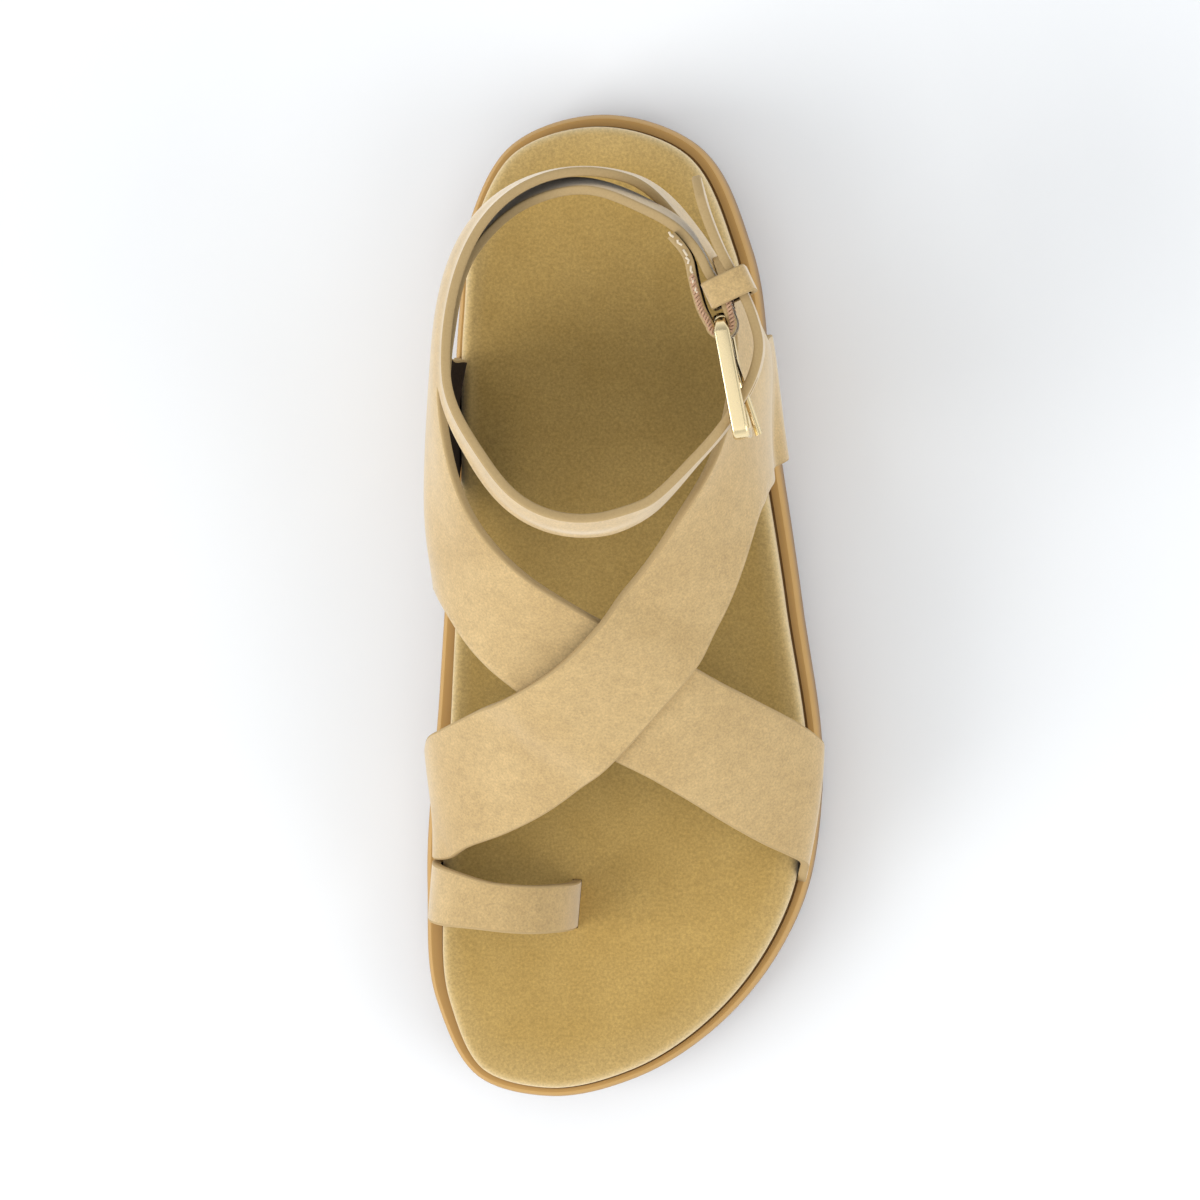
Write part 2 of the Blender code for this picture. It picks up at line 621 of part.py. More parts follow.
def build_upper(parts, guides):
    """Two strap pieces that cross on the instep, with tabs to the sole, heel band and ankle band."""
    ball_outer = sole_end("under strap, outer ball")
    waist_inner = sole_end("under strap, inner waist")
    tip = [(TIP_TURN, BAND_MIDDLE + 2.6), (TIP_TURN + 2.0, BAND_MIDDLE), (TIP_TURN, BAND_MIDDLE - 2.6)]
    half = BAND_WIDTH / 2.0
    free_top = [(turn, BAND_MIDDLE + half) for turn in (344.0, 367.0, 391.0, 415.0, TIP_TURN - TIP_BACK)]
    free_low = [(turn, BAND_MIDDLE - half) for turn in (TIP_TURN - TIP_BACK, 415.0, 391.0, 367.0, 344.0)]
    upper = pattern("upper", (
        (ball_outer[0], *UNDER_STRAP_FRONT, waist_inner[0]),
        waist_inner,
        (waist_inner[-1], *INNER_TAB_BACK, *HEEL_BAND_LOW, HEEL_BAND_END[1]),
        (HEEL_BAND_END[1], HEEL_BAND_END[0]),
        (HEEL_BAND_END[0], *HEEL_BAND_TOP, *FRONT_BAND_TOP, *free_top),
        (free_top[-1], *tip, free_low[0]),
        (*free_low, *FRONT_BAND_LOW, FORK),
        (FORK, *UNDER_STRAP_REAR[::-1], ball_outer[-1]),
        ball_outer[::-1],
    ), inner_piece_place, parts)
    ball_inner = sole_end("over strap, inner ball")
    waist_outer = sole_end("over strap, outer waist")
    over = pattern("over strap", (
        (ball_inner[0], *OVER_STRAP_FRONT, waist_outer[0]),
        waist_outer,
        (waist_outer[-1], *OUTER_TAB_BACK, OUTER_HORN[1]),
        (OUTER_HORN[1], OUTER_HORN[0]),
        (OUTER_HORN[0], *OVER_STRAP_REAR[::-1], ball_inner[-1]),
        ball_inner[::-1],
    ), outer_piece_place, guides)
    hide_guide(over)
    combine(upper, over, "UNION")
    combine(upper, prong_guide(guides), "DIFFERENCE")
    paint(upper, (0.66, 0.48, 0.25), 0.85)


def frame_axes():
    """Directions of the buckle: along it to the front, and out of its face."""
    along = (BAR_FRONT - BAR_BACK) / np.linalg.norm(BAR_FRONT - BAR_BACK)
    return along, np.array((-along[1], along[0]))


def prong_line():
    """Middle line of the prong, from the pin to the outside of the front bar."""
    along, out = frame_axes()
    start = BAR_BACK + along * 1.0
    end = BAR_FRONT + out * (FRAME_DEPTH / 2.0 + 3.0 * GAP + PRONG_RADIUS) + along * PRONG_REACH
    return start, end


def rod(name, start, end, radius, collection):
    """A round bar between two points, in millimetres."""
    start = Vector(start)
    end = Vector(end)
    shape = bmesh.new()
    turn = (end - start).to_track_quat("Z", "Y").to_matrix().to_4x4()
    place = Matrix.Translation((start + end) / 2.0 * MM) @ turn
    bmesh.ops.create_cone(shape, cap_ends=True, segments=16, radius1=radius * MM, radius2=radius * MM,
                          depth=(end - start).length * MM, matrix=place)
    mesh = bpy.data.meshes.new(name)
    shape.to_mesh(mesh)
    shape.free()
    return add(name, mesh, collection)


def prong_guide(guides):
    """The hole that the prong needs in the band."""
    start, end = prong_line()
    radius = PRONG_RADIUS + 2.0 * GAP
    guide = rod("prong hole", (*start, FRAME_MIDDLE), (*end, FRAME_MIDDLE), radius, guides)
    hide_guide(guide)
    return guide


def build_toe_loop(parts):
    """Loop over the big toe, from the inner ledge to a slot in the footbed."""
    first_y = TOE_LOOP_INNER_Y
    seat, rim, _ = profile(first_y)
    reach = np.linspace(-0.5, 0.5, 5) * TOE_LOOP_INNER_END
    beside = footbed_edge_x(first_y + reach, False) - TOE_LOOP_SKEW * reach
    side = float(beside.min()) - GAP - STRAP_THICK / 2.0
    slot_x, slot_y, _ = TOE_LOOP[-1]
    slot_low = float(profile(slot_y)[0]) + TOE_SLOT_DEPTH + GAP
    rows = ((side, first_y, seat + GAP), (side, first_y, rim), (side + 2.6, first_y - 0.6, rim + 11.0),
            *TOE_LOOP, (slot_x, slot_y, slot_low))
    middles = path_through(rows, 4.0)
    ups = np.tile((TOE_LOOP_SKEW, 1.0, 0.0), (len(middles), 1))
    widening = smooth((TOE_LOOP[1][0] - middles[:, 0]) / (TOE_LOOP[1][0] - side))
    width = TOE_LOOP_WIDTH + widening * (TOE_LOOP_INNER_END - TOE_LOOP_WIDTH)
    toe_loop = ribbon("toe_loop", middles, ups, width, parts)
    paint(toe_loop, (0.66, 0.48, 0.25), 0.85)


def build_buckle_strap(parts, guides):
    """Inner heel strap that carries the buckle: it folds round the pin and is sewn back on itself."""
    rows = np.array(BUCKLE_STRAP)
    turn, height, stand_off = rows.T
    held = on_last(turn, height) + outward(turn, height) * stand_off[:, None]
    held_ups = on_last(turn, height + 3.0) - on_last(turn, height - 3.0)
    along, out = frame_axes()
    radius = PIN_RADIUS + GAP + STRAP_THICK / 2.0
    fold = []
    for angle in np.radians(np.linspace(90.0, -90.0, 10)):
        fold.append(BAR_BACK + radius * (math.sin(angle) * out + math.cos(angle) * along))
    back = [BAR_BACK - along * way + out * (radius + step) for way, step in CHAPE_INSIDE]
    upright = (0.0, 0.0, 6.0)
    entry = [(*(BAR_BACK - along * way + out * step), FRAME_MIDDLE, *upright) for way, step in BUCKLE_ENTRY]
    held_rows = np.vstack((np.hstack((held, held_ups)), entry))
    fold_rows = [(*point, FRAME_MIDDLE, *upright) for point in (*fold, *back)]
    route = np.vstack((path_through(held_rows, 4.0), fold_rows))
    strap = ribbon("buckle_strap", route[:, :3], route[:, 3:], BAND_WIDTH, parts)
    turn_to_bar = Matrix.Rotation(math.atan2(along[1], along[0]), 4, "Z")
    place = Matrix.Translation(Vector((*(BAR_BACK + along * 2.0), FRAME_MIDDLE)) * MM) @ turn_to_bar
    slot = box_guide("prong slot", (11.0, 9.0, 2.0 * PRONG_RADIUS + 2.0 * GAP), place, guides)
    combine(strap, slot, "DIFFERENCE")
    paint(strap, (0.60, 0.43, 0.24), 0.85)


def frame_outline(half_long, half_tall, corner):
    """A rounded rectangle in the buckle's own plane."""
    points = []
    for quarter, (side, up) in enumerate(((1, 1), (-1, 1), (-1, -1), (1, -1))):
        for step in range(5):
            angle = math.radians(90.0 * quarter + 22.5 * step)
            points.append((side * (half_long - corner) + corner * math.cos(angle),
                           up * (half_tall - corner) + corner * math.sin(angle)))
    return points


def build_buckle(parts, guides):
    """Cast frame with a round pin in the fold of its strap, and the prong through the band."""
    along, out = frame_axes()
    length = float(np.linalg.norm(BAR_FRONT - BAR_BACK))
    half_tall = FRAME_WINDOW / 2.0 + FRAME_BAR
    half_long = length / 2.0 + FRAME_BAR / 2.0
    curve = bpy.data.curves.new("frame outline", "CURVE")
    curve.dimensions = "2D"
    curve.fill_mode = "BOTH"
    curve.extrude = (FRAME_DEPTH / 2.0 - 0.5) * MM
    curve.bevel_depth = 0.5 * MM
    curve.bevel_resolution = 1
    window = frame_outline(half_long - FRAME_BAR + 0.5, half_tall - FRAME_BAR + 0.5, 1.6)
    for points in (frame_outline(half_long - 0.5, half_tall - 0.5, FRAME_CORNER), window):
        spline = curve.splines.new("POLY")
        spline.points.add(len(points) - 1)
        spline.use_cyclic_u = True
        for point, (a, b) in zip(spline.points, points):
            point.co = (a * MM, b * MM, 0.0, 1.0)
    shape = bpy.data.objects.new("frame outline", curve)
    guides.objects.link(shape)
    middle = (BAR_BACK + BAR_FRONT) / 2.0
    stand = Matrix(((along[0], 0.0, out[0], middle[0] * MM), (along[1], 0.0, out[1], middle[1] * MM),
                    (0.0, 1.0, 0.0, FRAME_MIDDLE * MM), (0.0, 0.0, 0.0, 1.0)))
    bpy.context.view_layer.update()
    mesh = bpy.data.meshes.new_from_object(shape.evaluated_get(bpy.context.evaluated_depsgraph_get()))
    mesh.name = "buckle_frame"
    bpy.data.objects.remove(shape)
    weld = bmesh.new()
    weld.from_mesh(mesh)
    bmesh.ops.remove_doubles(weld, verts=weld.verts, dist=1e-6)
    bmesh.ops.transform(weld, matrix=stand, verts=weld.verts)
    bmesh.ops.recalc_face_normals(weld, faces=weld.faces)
    weld.to_mesh(mesh)
    weld.free()
    frame = add("buckle_frame", mesh, parts)
    clear = Vector((2.0 * FRAME_BAR, FRAME_DEPTH + 2.0, FRAME_WINDOW))
    turn = Matrix.Rotation(math.atan2(along[1], along[0]), 4, "Z")
    place = Matrix.Translation(Vector((*(BAR_BACK - along * 0.4), FRAME_MIDDLE)) * MM) @ turn
    combine(frame, box_guide("pin room", clear, place, guides), "DIFFERENCE")
    reach = FRAME_WINDOW / 2.0 + FRAME_BAR / 2.0
    low_end = (*BAR_BACK, FRAME_MIDDLE - reach)
    top_end = (*BAR_BACK, FRAME_MIDDLE + reach)
    pin = rod("pin", low_end, top_end, PIN_RADIUS, guides)
    hide_guide(pin)
    combine(frame, pin, "UNION")
    paint(frame, (0.87, 0.72, 0.48), 0.15, 1.0)

    start, end = prong_line()
    away = (end - start) / np.linalg.norm(end - start)
    root = start + away * 1.2
    prong = rod("buckle_prong", (*root, FRAME_MIDDLE), (*end, FRAME_MIDDLE), PRONG_RADIUS, parts)
    for name, radius, half, step in (("prong eye", EYE_RADIUS, EYE_HALF, "UNION"),
                                     ("eye hole", PIN_RADIUS + GAP, 2.0 * EYE_HALF, "DIFFERENCE")):
        low = (*BAR_BACK, FRAME_MIDDLE - half)
        high = (*BAR_BACK, FRAME_MIDDLE + half)
        round_guide = rod(name, low, high, radius, guides)
        hide_guide(round_guide)
        combine(prong, round_guide, step)
    paint(prong, (0.87, 0.72, 0.48), 0.15, 1.0)


def build_keeper(parts):
    """Small leather ring that holds the band's free end against the buckle strap."""
    ahead = flow([row[0] for row in FREE_END], [row[1:3] for row in FREE_END], np.array((390.0, 392.0)))
    along = (ahead[1] - ahead[0]) / np.linalg.norm(ahead[1] - ahead[0])
    out = np.array((along[1], -along[0]))
    half_tall = BAND_WIDTH / 2.0 + 2.0 * GAP
    rings = []
    for offset, grow in ((-0.5, 0.0), (-0.5, 1.0), (0.5, 1.0), (0.5, 0.0)):
        loop = []
        half_span = KEEPER_SPAN / 2.0 - KEEPER_THICK * (1.0 - grow)
        wall = KEEPER_THICK * grow
        for side, up in frame_outline(half_span, half_tall + wall, 1.0 + wall):
            plan = KEEPER_AT + out * side + along * offset * KEEPER_WIDE
            loop.append((*plan, FRAME_MIDDLE + up))
        rings.append(loop)
    ring = bmesh.new()
    rows = [[ring.verts.new(Vector(point) * MM) for point in loop] for loop in rings]
    count = len(rows[0])
    for row, following in zip(rows, rows[1:] + rows[:1]):
        for i in range(count):
            j = (i + 1) % count
            ring.faces.new((row[i], row[j], following[j], following[i]))
    bmesh.ops.recalc_face_normals(ring, faces=ring.faces)
    mesh = bpy.data.meshes.new("keeper")
    ring.to_mesh(mesh)
    ring.free()
    keeper = add("keeper", mesh, parts)
    paint(keeper, (0.66, 0.48, 0.25), 0.85)


for old in list(bpy.data.objects):
    bpy.data.objects.remove(old)
sandal = bpy.data.collections.new("ankle wrap sandal")
guide_shapes = bpy.data.collections.new("guides")
bpy.context.scene.collection.children.link(sandal)
bpy.context.scene.collection.children.link(guide_shapes)
build_outsole(sandal, guide_shapes)
build_footbed(sandal, guide_shapes)
build_upper(sandal, guide_shapes)
build_toe_loop(sandal)
build_buckle_strap(sandal, guide_shapes)
build_buckle(sandal, guide_shapes)
build_keeper(sandal)
for shape in (*sandal.objects, *guide_shapes.objects):
    shape.location = (-ORIGIN_X * MM, -ORIGIN_Y * MM, 0.0)
for part in sandal.objects:
    part.data.shade_smooth()
    part.data.set_sharp_from_angle(angle=math.radians(35.0))
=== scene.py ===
import math

import bmesh
import bpy
import numpy as np
from mathutils import Matrix, Vector
from mathutils.geometry import delaunay_2d_cdt


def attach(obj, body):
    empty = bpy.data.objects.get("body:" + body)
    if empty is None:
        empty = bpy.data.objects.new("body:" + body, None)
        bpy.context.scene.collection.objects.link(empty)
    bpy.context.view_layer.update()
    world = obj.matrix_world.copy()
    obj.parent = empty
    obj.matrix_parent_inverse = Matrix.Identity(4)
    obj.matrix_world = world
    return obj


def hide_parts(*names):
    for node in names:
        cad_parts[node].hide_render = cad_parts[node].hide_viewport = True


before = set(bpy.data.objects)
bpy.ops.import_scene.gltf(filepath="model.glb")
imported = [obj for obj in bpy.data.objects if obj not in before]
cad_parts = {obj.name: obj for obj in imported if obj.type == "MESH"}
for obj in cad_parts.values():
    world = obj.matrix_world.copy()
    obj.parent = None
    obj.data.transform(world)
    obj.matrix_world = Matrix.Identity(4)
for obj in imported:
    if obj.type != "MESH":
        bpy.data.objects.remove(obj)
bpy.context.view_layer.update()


# Outsole. One moulded rubber unit with a flat heel and ball, a waist, toe spring and cross lugs.
# Its top is a ledge that stands out all round the footbed and ends in a rounded rim.
# Sizes are in millimetres, +X to the outer side, +Y to the heel; metres() puts them in the frame.
MM = 0.001
FRAME_ORIGIN = np.array((8.136, -1.334, 0.0))
TOE_SPRING = 8.0
TOE_BREAK = -86.0
TOE_END = -131.0
HEEL_BEVEL = 2.5
HEEL_BREAK = 106.0
HEEL_END = 128.0
WAIST_RISE = 2.5
WAIST_START = -26.0
WAIST_END = 44.0
LUG_PITCH = 11.0
LUG_GROOVE = 2.6
LUG_DEPTH = 2.2
LUG_GROOVE_LONG = 140.0
LUG_MIDDLE_X = 5.0
BALL_LUG_START = 4.0
HEEL_LUG_START = 6.0
SOLE_POINTS = 300
SOLE_SHARP = 40.0
SOLE_MIDDLE = np.array((6.0, -2.0))
OUTLINE = (
    # x, y, width of the ledge left beside the footbed, from the heel end round the outer side
    (2.0, 127.8, 4.0),
    (27.8, 119.3, 4.0),
    (41.0, 93.0, 3.9),
    (46.4, 53.0, 4.0),
    (54.3, 0.0, 3.8),
    (59.6, -50.0, 3.4),
    (54.7, -79.5, 3.4),
    (38.7, -105.7, 3.2),
    (10.9, -125.6, 3.0),
    (-12.0, -130.5, 3.0),
    (-30.7, -125.6, 3.4),
    (-42.1, -105.7, 4.4),
    (-44.7, -75.0, 5.2),
    (-41.4, -25.0, 4.4),
    (-37.8, 30.0, 3.6),
    (-35.8, 74.0, 2.6),
    (-32.8, 100.0, 2.9),
    (-22.5, 119.3, 3.4),
)
PROFILE = np.array((
    # y, seat of the footbed, rim of the footbed, depth of its dish
    (-132.0, 22.5, 29.5, 1.8),
    (-110.0, 20.0, 27.3, 1.8),
    (-80.0, 18.8, 26.4, 1.8),
    (-30.0, 19.6, 28.0, 2.2),
    (10.0, 21.5, 30.5, 3.4),
    (50.0, 23.5, 33.0, 5.0),
    (100.0, 25.0, 34.8, 6.5),
    (130.0, 25.0, 35.0, 6.0),
))
SOLE_SIDE = (
    # inset from the outline, share of the height from the ground to the ledge, painted light of the rubber
    # (shade to highlight)
    (2.4, 0.0, 0.1),
    (1.3, 0.03, 0.1),
    (0.6, 0.09, 0.1),
    (0.2, 0.18, 0.15),
    (0.0, 0.3, 0.2),
    (0.0, 0.5, 0.25),
    (0.0, 0.7, 0.35),
    (0.1, 0.82, 0.55),
    (0.4, 0.91, 0.85),
    (0.9, 0.97, 1.0),
    (1.4, 1.0, 0.95),
    (1.9, 1.0, 0.85),
)
LEDGE_GROOVE = (
    # way out from the footbed's side, drop below the ledge, painted light of the rubber (darker is painted
    # shade)
    (0.6, 0.0, 0.6),
    (0.45, 0.5, 0.3),
    (0.0, 0.6, 0.15),
)
# Rings of the underside and of the seat under the footbed, as shares of the way out from the middle.
UNDERSIDE_SHARES = (0.12, 0.22, 0.36, 0.5, 0.65, 0.75, 0.82, 0.88, 0.93, 0.97)
SEAT_SHARES = (0.97, 0.6, 0.3)


def flow(knots, values, at):
    """A smooth curve through the values at the knots, read at some places."""
    knots = np.asarray(knots, float)
    values = np.asarray(values, float)
    at = np.asarray(at, float)
    slopes = np.gradient(values, knots, axis=0)
    index = np.clip(np.searchsorted(knots, at, side="right") - 1, 0, len(knots) - 2)
    span = knots[index + 1] - knots[index]
    share = np.clip((at - knots[index]) / span, 0.0, 1.0)
    if values.ndim > 1:
        span = span[..., None]
        share = share[..., None]
    ease = share * share * (3.0 - 2.0 * share)
    bend = slopes[index] * (1.0 - share) - slopes[index + 1] * share
    return values[index] * (1.0 - ease) + values[index + 1] * ease + span * share * (1.0 - share) * bend


def loop_through(rows, count):
    """A closed smooth loop through the rows."""
    rows = np.asarray(rows, float)
    wrapped = np.vstack((rows[-3:], rows, rows[:4]))
    steps = np.linalg.norm(np.diff(wrapped[:, :2], axis=0), axis=1)
    reach = np.concatenate(((0.0,), np.cumsum(steps)))
    places = np.linspace(reach[3], reach[3 + len(rows)], count, endpoint=False)
    return flow(reach, wrapped, places)


def unit(vectors):
    """Vectors brought to length 1."""
    return vectors / np.linalg.norm(vectors, axis=-1, keepdims=True)


def smooth(share):
    """An easy ramp from 0 to 1."""
    share = np.clip(share, 0.0, 1.0)
    return share * share * (3.0 - 2.0 * share)


def ground(y):
    """Height of the underside: flat under heel and ball, raised at the waist, toe and heel end."""
    toe = TOE_SPRING * np.clip((TOE_BREAK - y) / (TOE_BREAK - TOE_END), 0.0, 1.2) ** 2
    heel = HEEL_BEVEL * np.clip((y - HEEL_BREAK) / (HEEL_END - HEEL_BREAK), 0.0, 1.2) ** 2
    waist_share = np.clip((y - WAIST_START) / (WAIST_END - WAIST_START), 0.0, 1.0)
    return toe + heel + WAIST_RISE * np.sin(math.pi * waist_share) ** 2


def read_table(table, at):
    """A table's columns after the first, each read where the first column comes to some places."""
    return np.moveaxis(flow(table[:, 0], table[:, 1:], at), -1, 0)


def profile(y):
    """Seat height, rim height and dish depth of the footbed at a place along the foot."""
    return read_table(PROFILE, y)


def metres(points):
    """Points in millimetres, put in the frame."""
    return (np.asarray(points, float) - FRAME_ORIGIN) * MM


def put(name, data):
    """An object put in the scene."""
    made = bpy.data.objects.new(name, data)
    bpy.context.scene.collection.objects.link(made)
    return made


def add_piece(name, points, faces):
    """A smooth-shaded mesh piece that rides on the sandal."""
    mesh = bpy.data.meshes.new(name)
    mesh.from_pydata(metres(points).tolist(), [], faces)
    mesh.shade_smooth()
    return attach(put(name, mesh), "root")


def ring_faces(rings, count, closed=False):
    """Quads from each ring of points to the next one and, if closed, from the last to the first."""
    faces = []
    for ring in range(rings if closed else rings - 1):
        following = (ring + 1) % rings
        for i in range(count):
            j = (i + 1) % count
            faces.append((ring * count + i, following * count + i, following * count + j, ring * count + j))
    return faces


def skin_piece(name, rings, middles, pale):
    """A piece skinned over rings of points and closed at two middle points, with its painted light and shade
    by ring.
    """
    count = len(rings[0])
    faces = ring_faces(len(rings), count)
    first, last = len(rings) * count, len(rings) * count + 1
    for i in range(count):
        j = (i + 1) % count
        faces.append((i, j, first))
        faces.append((first - count + j, first - count + i, last))
    piece = add_piece(name, np.vstack((*rings, middles)), faces)
    painted_light_share = piece.data.attributes.new("painted_light_share", "FLOAT", "POINT")
    painted_light_share.data.foreach_set("value", np.append(np.repeat(pale, count), (pale[0], pale[-1])))
    return piece


def shrunk(loop, share):
    """A loop drawn in towards the middle of the sole."""
    return SOLE_MIDDLE + (loop - SOLE_MIDDLE) * share


def cut_away(piece, boxes):
    """Cut boxes out of a piece, each given by the matrix that makes it from a unit cube."""
    cubes = bmesh.new()
    for box in boxes:
        bmesh.ops.create_cube(cubes, size=1.0, matrix=box)
    cutter_mesh = bpy.data.meshes.new("cutter")
    cubes.to_mesh(cutter_mesh)
    cubes.free()
    cutter = put("cutter", cutter_mesh)
    cut = piece.modifiers.new("cut", "BOOLEAN")
    cut.object = cutter
    bpy.context.view_layer.update()
    left = piece.evaluated_get(bpy.context.evaluated_depsgraph_get())
    cut_mesh = bpy.data.meshes.new_from_object(left)
    piece.modifiers.clear()
    piece.data = cut_mesh
    bpy.data.objects.remove(cutter)


def linear(code):
    """A colour from its sRGB hex code."""
    parts = [int(code[i:i + 2], 16) / 255.0 for i in (1, 3, 5)]
    return [part / 12.92 if part <= 0.04045 else ((part + 0.055) / 1.055) ** 2.4 for part in parts] + [1.0]


def node(tree, kind, settings=(), links=()):
    """Add a node with its settings and the links into it."""
    made = tree.nodes.new(kind)
    for key, value in dict(settings).items():
        if isinstance(key, int) or key in made.inputs:
            made.inputs[key].default_value = value
        else:
            setattr(made, key, value)
    for key, source in dict(links).items():
        tree.links.new(source, made.inputs[key])
    return made


def new_material(name):
    """An empty material, its node tree and its shader."""
    material = bpy.data.materials.new(name)
    material.use_nodes = True
    return material, material.node_tree, material.node_tree.nodes["Principled BSDF"]


sole_loop = loop_through(OUTLINE, SOLE_POINTS)
sole_edge = sole_loop[:, :2]
sole_along = np.roll(sole_edge, -1, axis=0) - np.roll(sole_edge, 1, axis=0)
sole_out = unit(np.stack((-sole_along[:, 1], sole_along[:, 0]), axis=1))
footbed_edge = sole_edge - sole_out * sole_loop[:, 2:3]

sole_rings = []
sole_painted_light = []
for share in UNDERSIDE_SHARES:
    loop = shrunk(sole_edge - sole_out * SOLE_SIDE[0][0], share)
    sole_rings.append(np.column_stack((loop, ground(loop[:, 1]))))
    sole_painted_light.append(SOLE_SIDE[0][2])
for inset, share, pale in SOLE_SIDE:
    loop = sole_edge - sole_out * inset
    low = ground(loop[:, 1])
    sole_rings.append(np.column_stack((loop, low + share * (profile(loop[:, 1])[0] - low))))
    sole_painted_light.append(pale)
for out, drop, pale in LEDGE_GROOVE:
    loop = footbed_edge + sole_out * out
    sole_rings.append(np.column_stack((loop, profile(loop[:, 1])[0] - drop)))
    sole_painted_light.append(pale)
for share in SEAT_SHARES:
    loop = shrunk(footbed_edge, share)
    sole_rings.append(np.column_stack((loop, profile(loop[:, 1])[0])))
    sole_painted_light.append(LEDGE_GROOVE[-1][2])
middle_y = SOLE_MIDDLE[1]
sole_middles = [(*SOLE_MIDDLE, float(ground(middle_y))), (*SOLE_MIDDLE, float(profile(middle_y)[0]))]
outsole = skin_piece("outsole_unit", sole_rings, sole_middles, sole_painted_light)

groove_size = Matrix.Diagonal((LUG_GROOVE_LONG * MM, LUG_GROOVE * MM, 2.0 * LUG_DEPTH * MM, 1.0))
ball_grooves = np.arange(TOE_BREAK + BALL_LUG_START, WAIST_START, LUG_PITCH)
heel_grooves = np.arange(WAIST_END + HEEL_LUG_START, HEEL_BREAK, LUG_PITCH)
cut_away(outsole, [Matrix.Translation(metres((LUG_MIDDLE_X, groove_y, 0.0))) @ groove_size
                   for groove_y in (*ball_grooves, *heel_grooves)])
outsole.data.shade_smooth()
outsole.data.set_sharp_from_angle(angle=math.radians(SOLE_SHARP))

# Moulded foam rubber: caramel with a faint cloudiness and the matt grain of a spark-eroded mould, drawn at
# 0.6 mm so that it shows. It is painted palest on the rim's top as a painted highlight, and painted darker
# down the side wall, on the underside and in the groove as painted shade.
RUBBER_GRAIN_MM = 0.6
RUBBER_CLOUD_MM = 18.0
rubber, tree, shader = new_material("caramel_moulded_rubber")
place = node(tree, "ShaderNodeTexCoord").outputs["Object"]
cloud = node(tree, "ShaderNodeTexNoise", {"Scale": 1.0 / (RUBBER_CLOUD_MM * MM), "Detail": 3.0},
             {"Vector": place})
grain = node(tree, "ShaderNodeTexNoise", {"Scale": 1.0 / (RUBBER_GRAIN_MM * MM), "Detail": 2.0},
             {"Vector": place})
painted_light_read = node(tree, "ShaderNodeAttribute", {"attribute_name": "painted_light_share"})
# Painted light: dark brown as painted shade down the side wall and in the groove, caramel as a painted
# highlight on the rim.
tint = node(tree, "ShaderNodeMix", {"data_type": "RGBA", 6: linear("#6e4b22"), 7: linear("#c09757")},
            {0: painted_light_read.outputs["Fac"]})
cloud_light = node(tree, "ShaderNodeMapRange", {"To Min": 0.92, "To Max": 1.08},
                   {"Value": cloud.outputs["Fac"]})
clouded = node(tree, "ShaderNodeMix", {"data_type": "RGBA", "blend_type": "MULTIPLY", 0: 1.0},
               {6: tint.outputs[2], 7: cloud_light.outputs["Result"]})
tree.links.new(clouded.outputs[2], shader.inputs["Base Color"])
bump = node(tree, "ShaderNodeBump", {"Strength": 0.25, "Distance": 0.05 * MM},
            {"Height": grain.outputs["Fac"]})
tree.links.new(bump.outputs["Normal"], shader.inputs["Normal"])
shader.inputs["Roughness"].default_value = 0.52
shader.inputs["Specular IOR Level"].default_value = 0.4
outsole.data.materials.append(rubber)
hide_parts("outsole")


# Footbed. A moulded foam insole under a suede cover that is wrapped round its edge and bonded.
# It has a heel cup, an arch, a ball pad, a low toe bar and a slot that takes the toe loop's end.
GAP = 0.3
STRAP_THICK = 2.3
TOE_LOOP_WIDTH = 12.6
TOE_LOOP_SKEW = 0.077
TOE_SLOT = np.array((-4.5, -79.1))
TOE_SLOT_FLOOR = 4.0
SLOT_ROOM = 0.2
SLOT_TALL = 20.0
FOOTBED_BUMPS = (
    # height, x, y, reach across, reach along
    (4.0, -22.0, 28.0, 13.0, 34.0),
    (1.8, 6.0, -8.0, 17.0, 16.0),
    (1.2, 4.0, -84.0, 34.0, 8.0),
)
FOOTBED_WALL = (
    # inset from the footbed's side, height over the seat or, if negative, drop from the rim, paleness as a
    # painted highlight
    (0.7, 0.0, 0.2),
    (0.2, 0.25, 0.3),
    (0.0, 0.8, 0.5),
    (0.0, -3.2, 0.9),
    (0.1, -2.2, 1.0),
    (0.4, -1.3, 1.0),
    (0.9, -0.65, 0.7),
    (1.6, -0.2, 0.4),
    (2.4, -0.02, 0.25),
)
FOOTBED_HIGHLIGHT_REACH = 0.08
BED_SHARP = 50.0
DISH_POWER = 2.5
BUMP_FADE_POWER = 4
# Rings of the underside and of the moulded top, as shares of the way out from the middle.
BED_UNDER_SHARES = (0.3, 0.65, 0.9)
BED_TOP_SHARES = np.linspace(0.985, 0.03, 34)


def footbed_top(loop, share):
    """Heights of the footbed's moulded top; the share is 1 at its rim and 0 in the middle."""
    x, y = loop[:, 0], loop[:, 1]
    _, rim, depth = profile(y)
    top = rim - depth * (1.0 - share ** DISH_POWER)
    for height, at_x, at_y, reach_x, reach_y in FOOTBED_BUMPS:
        bump_shape = np.exp(-((x - at_x) / reach_x) ** 2 - ((y - at_y) / reach_y) ** 2)
        top = top + (1.0 - share ** BUMP_FADE_POWER) * height * bump_shape
    return top


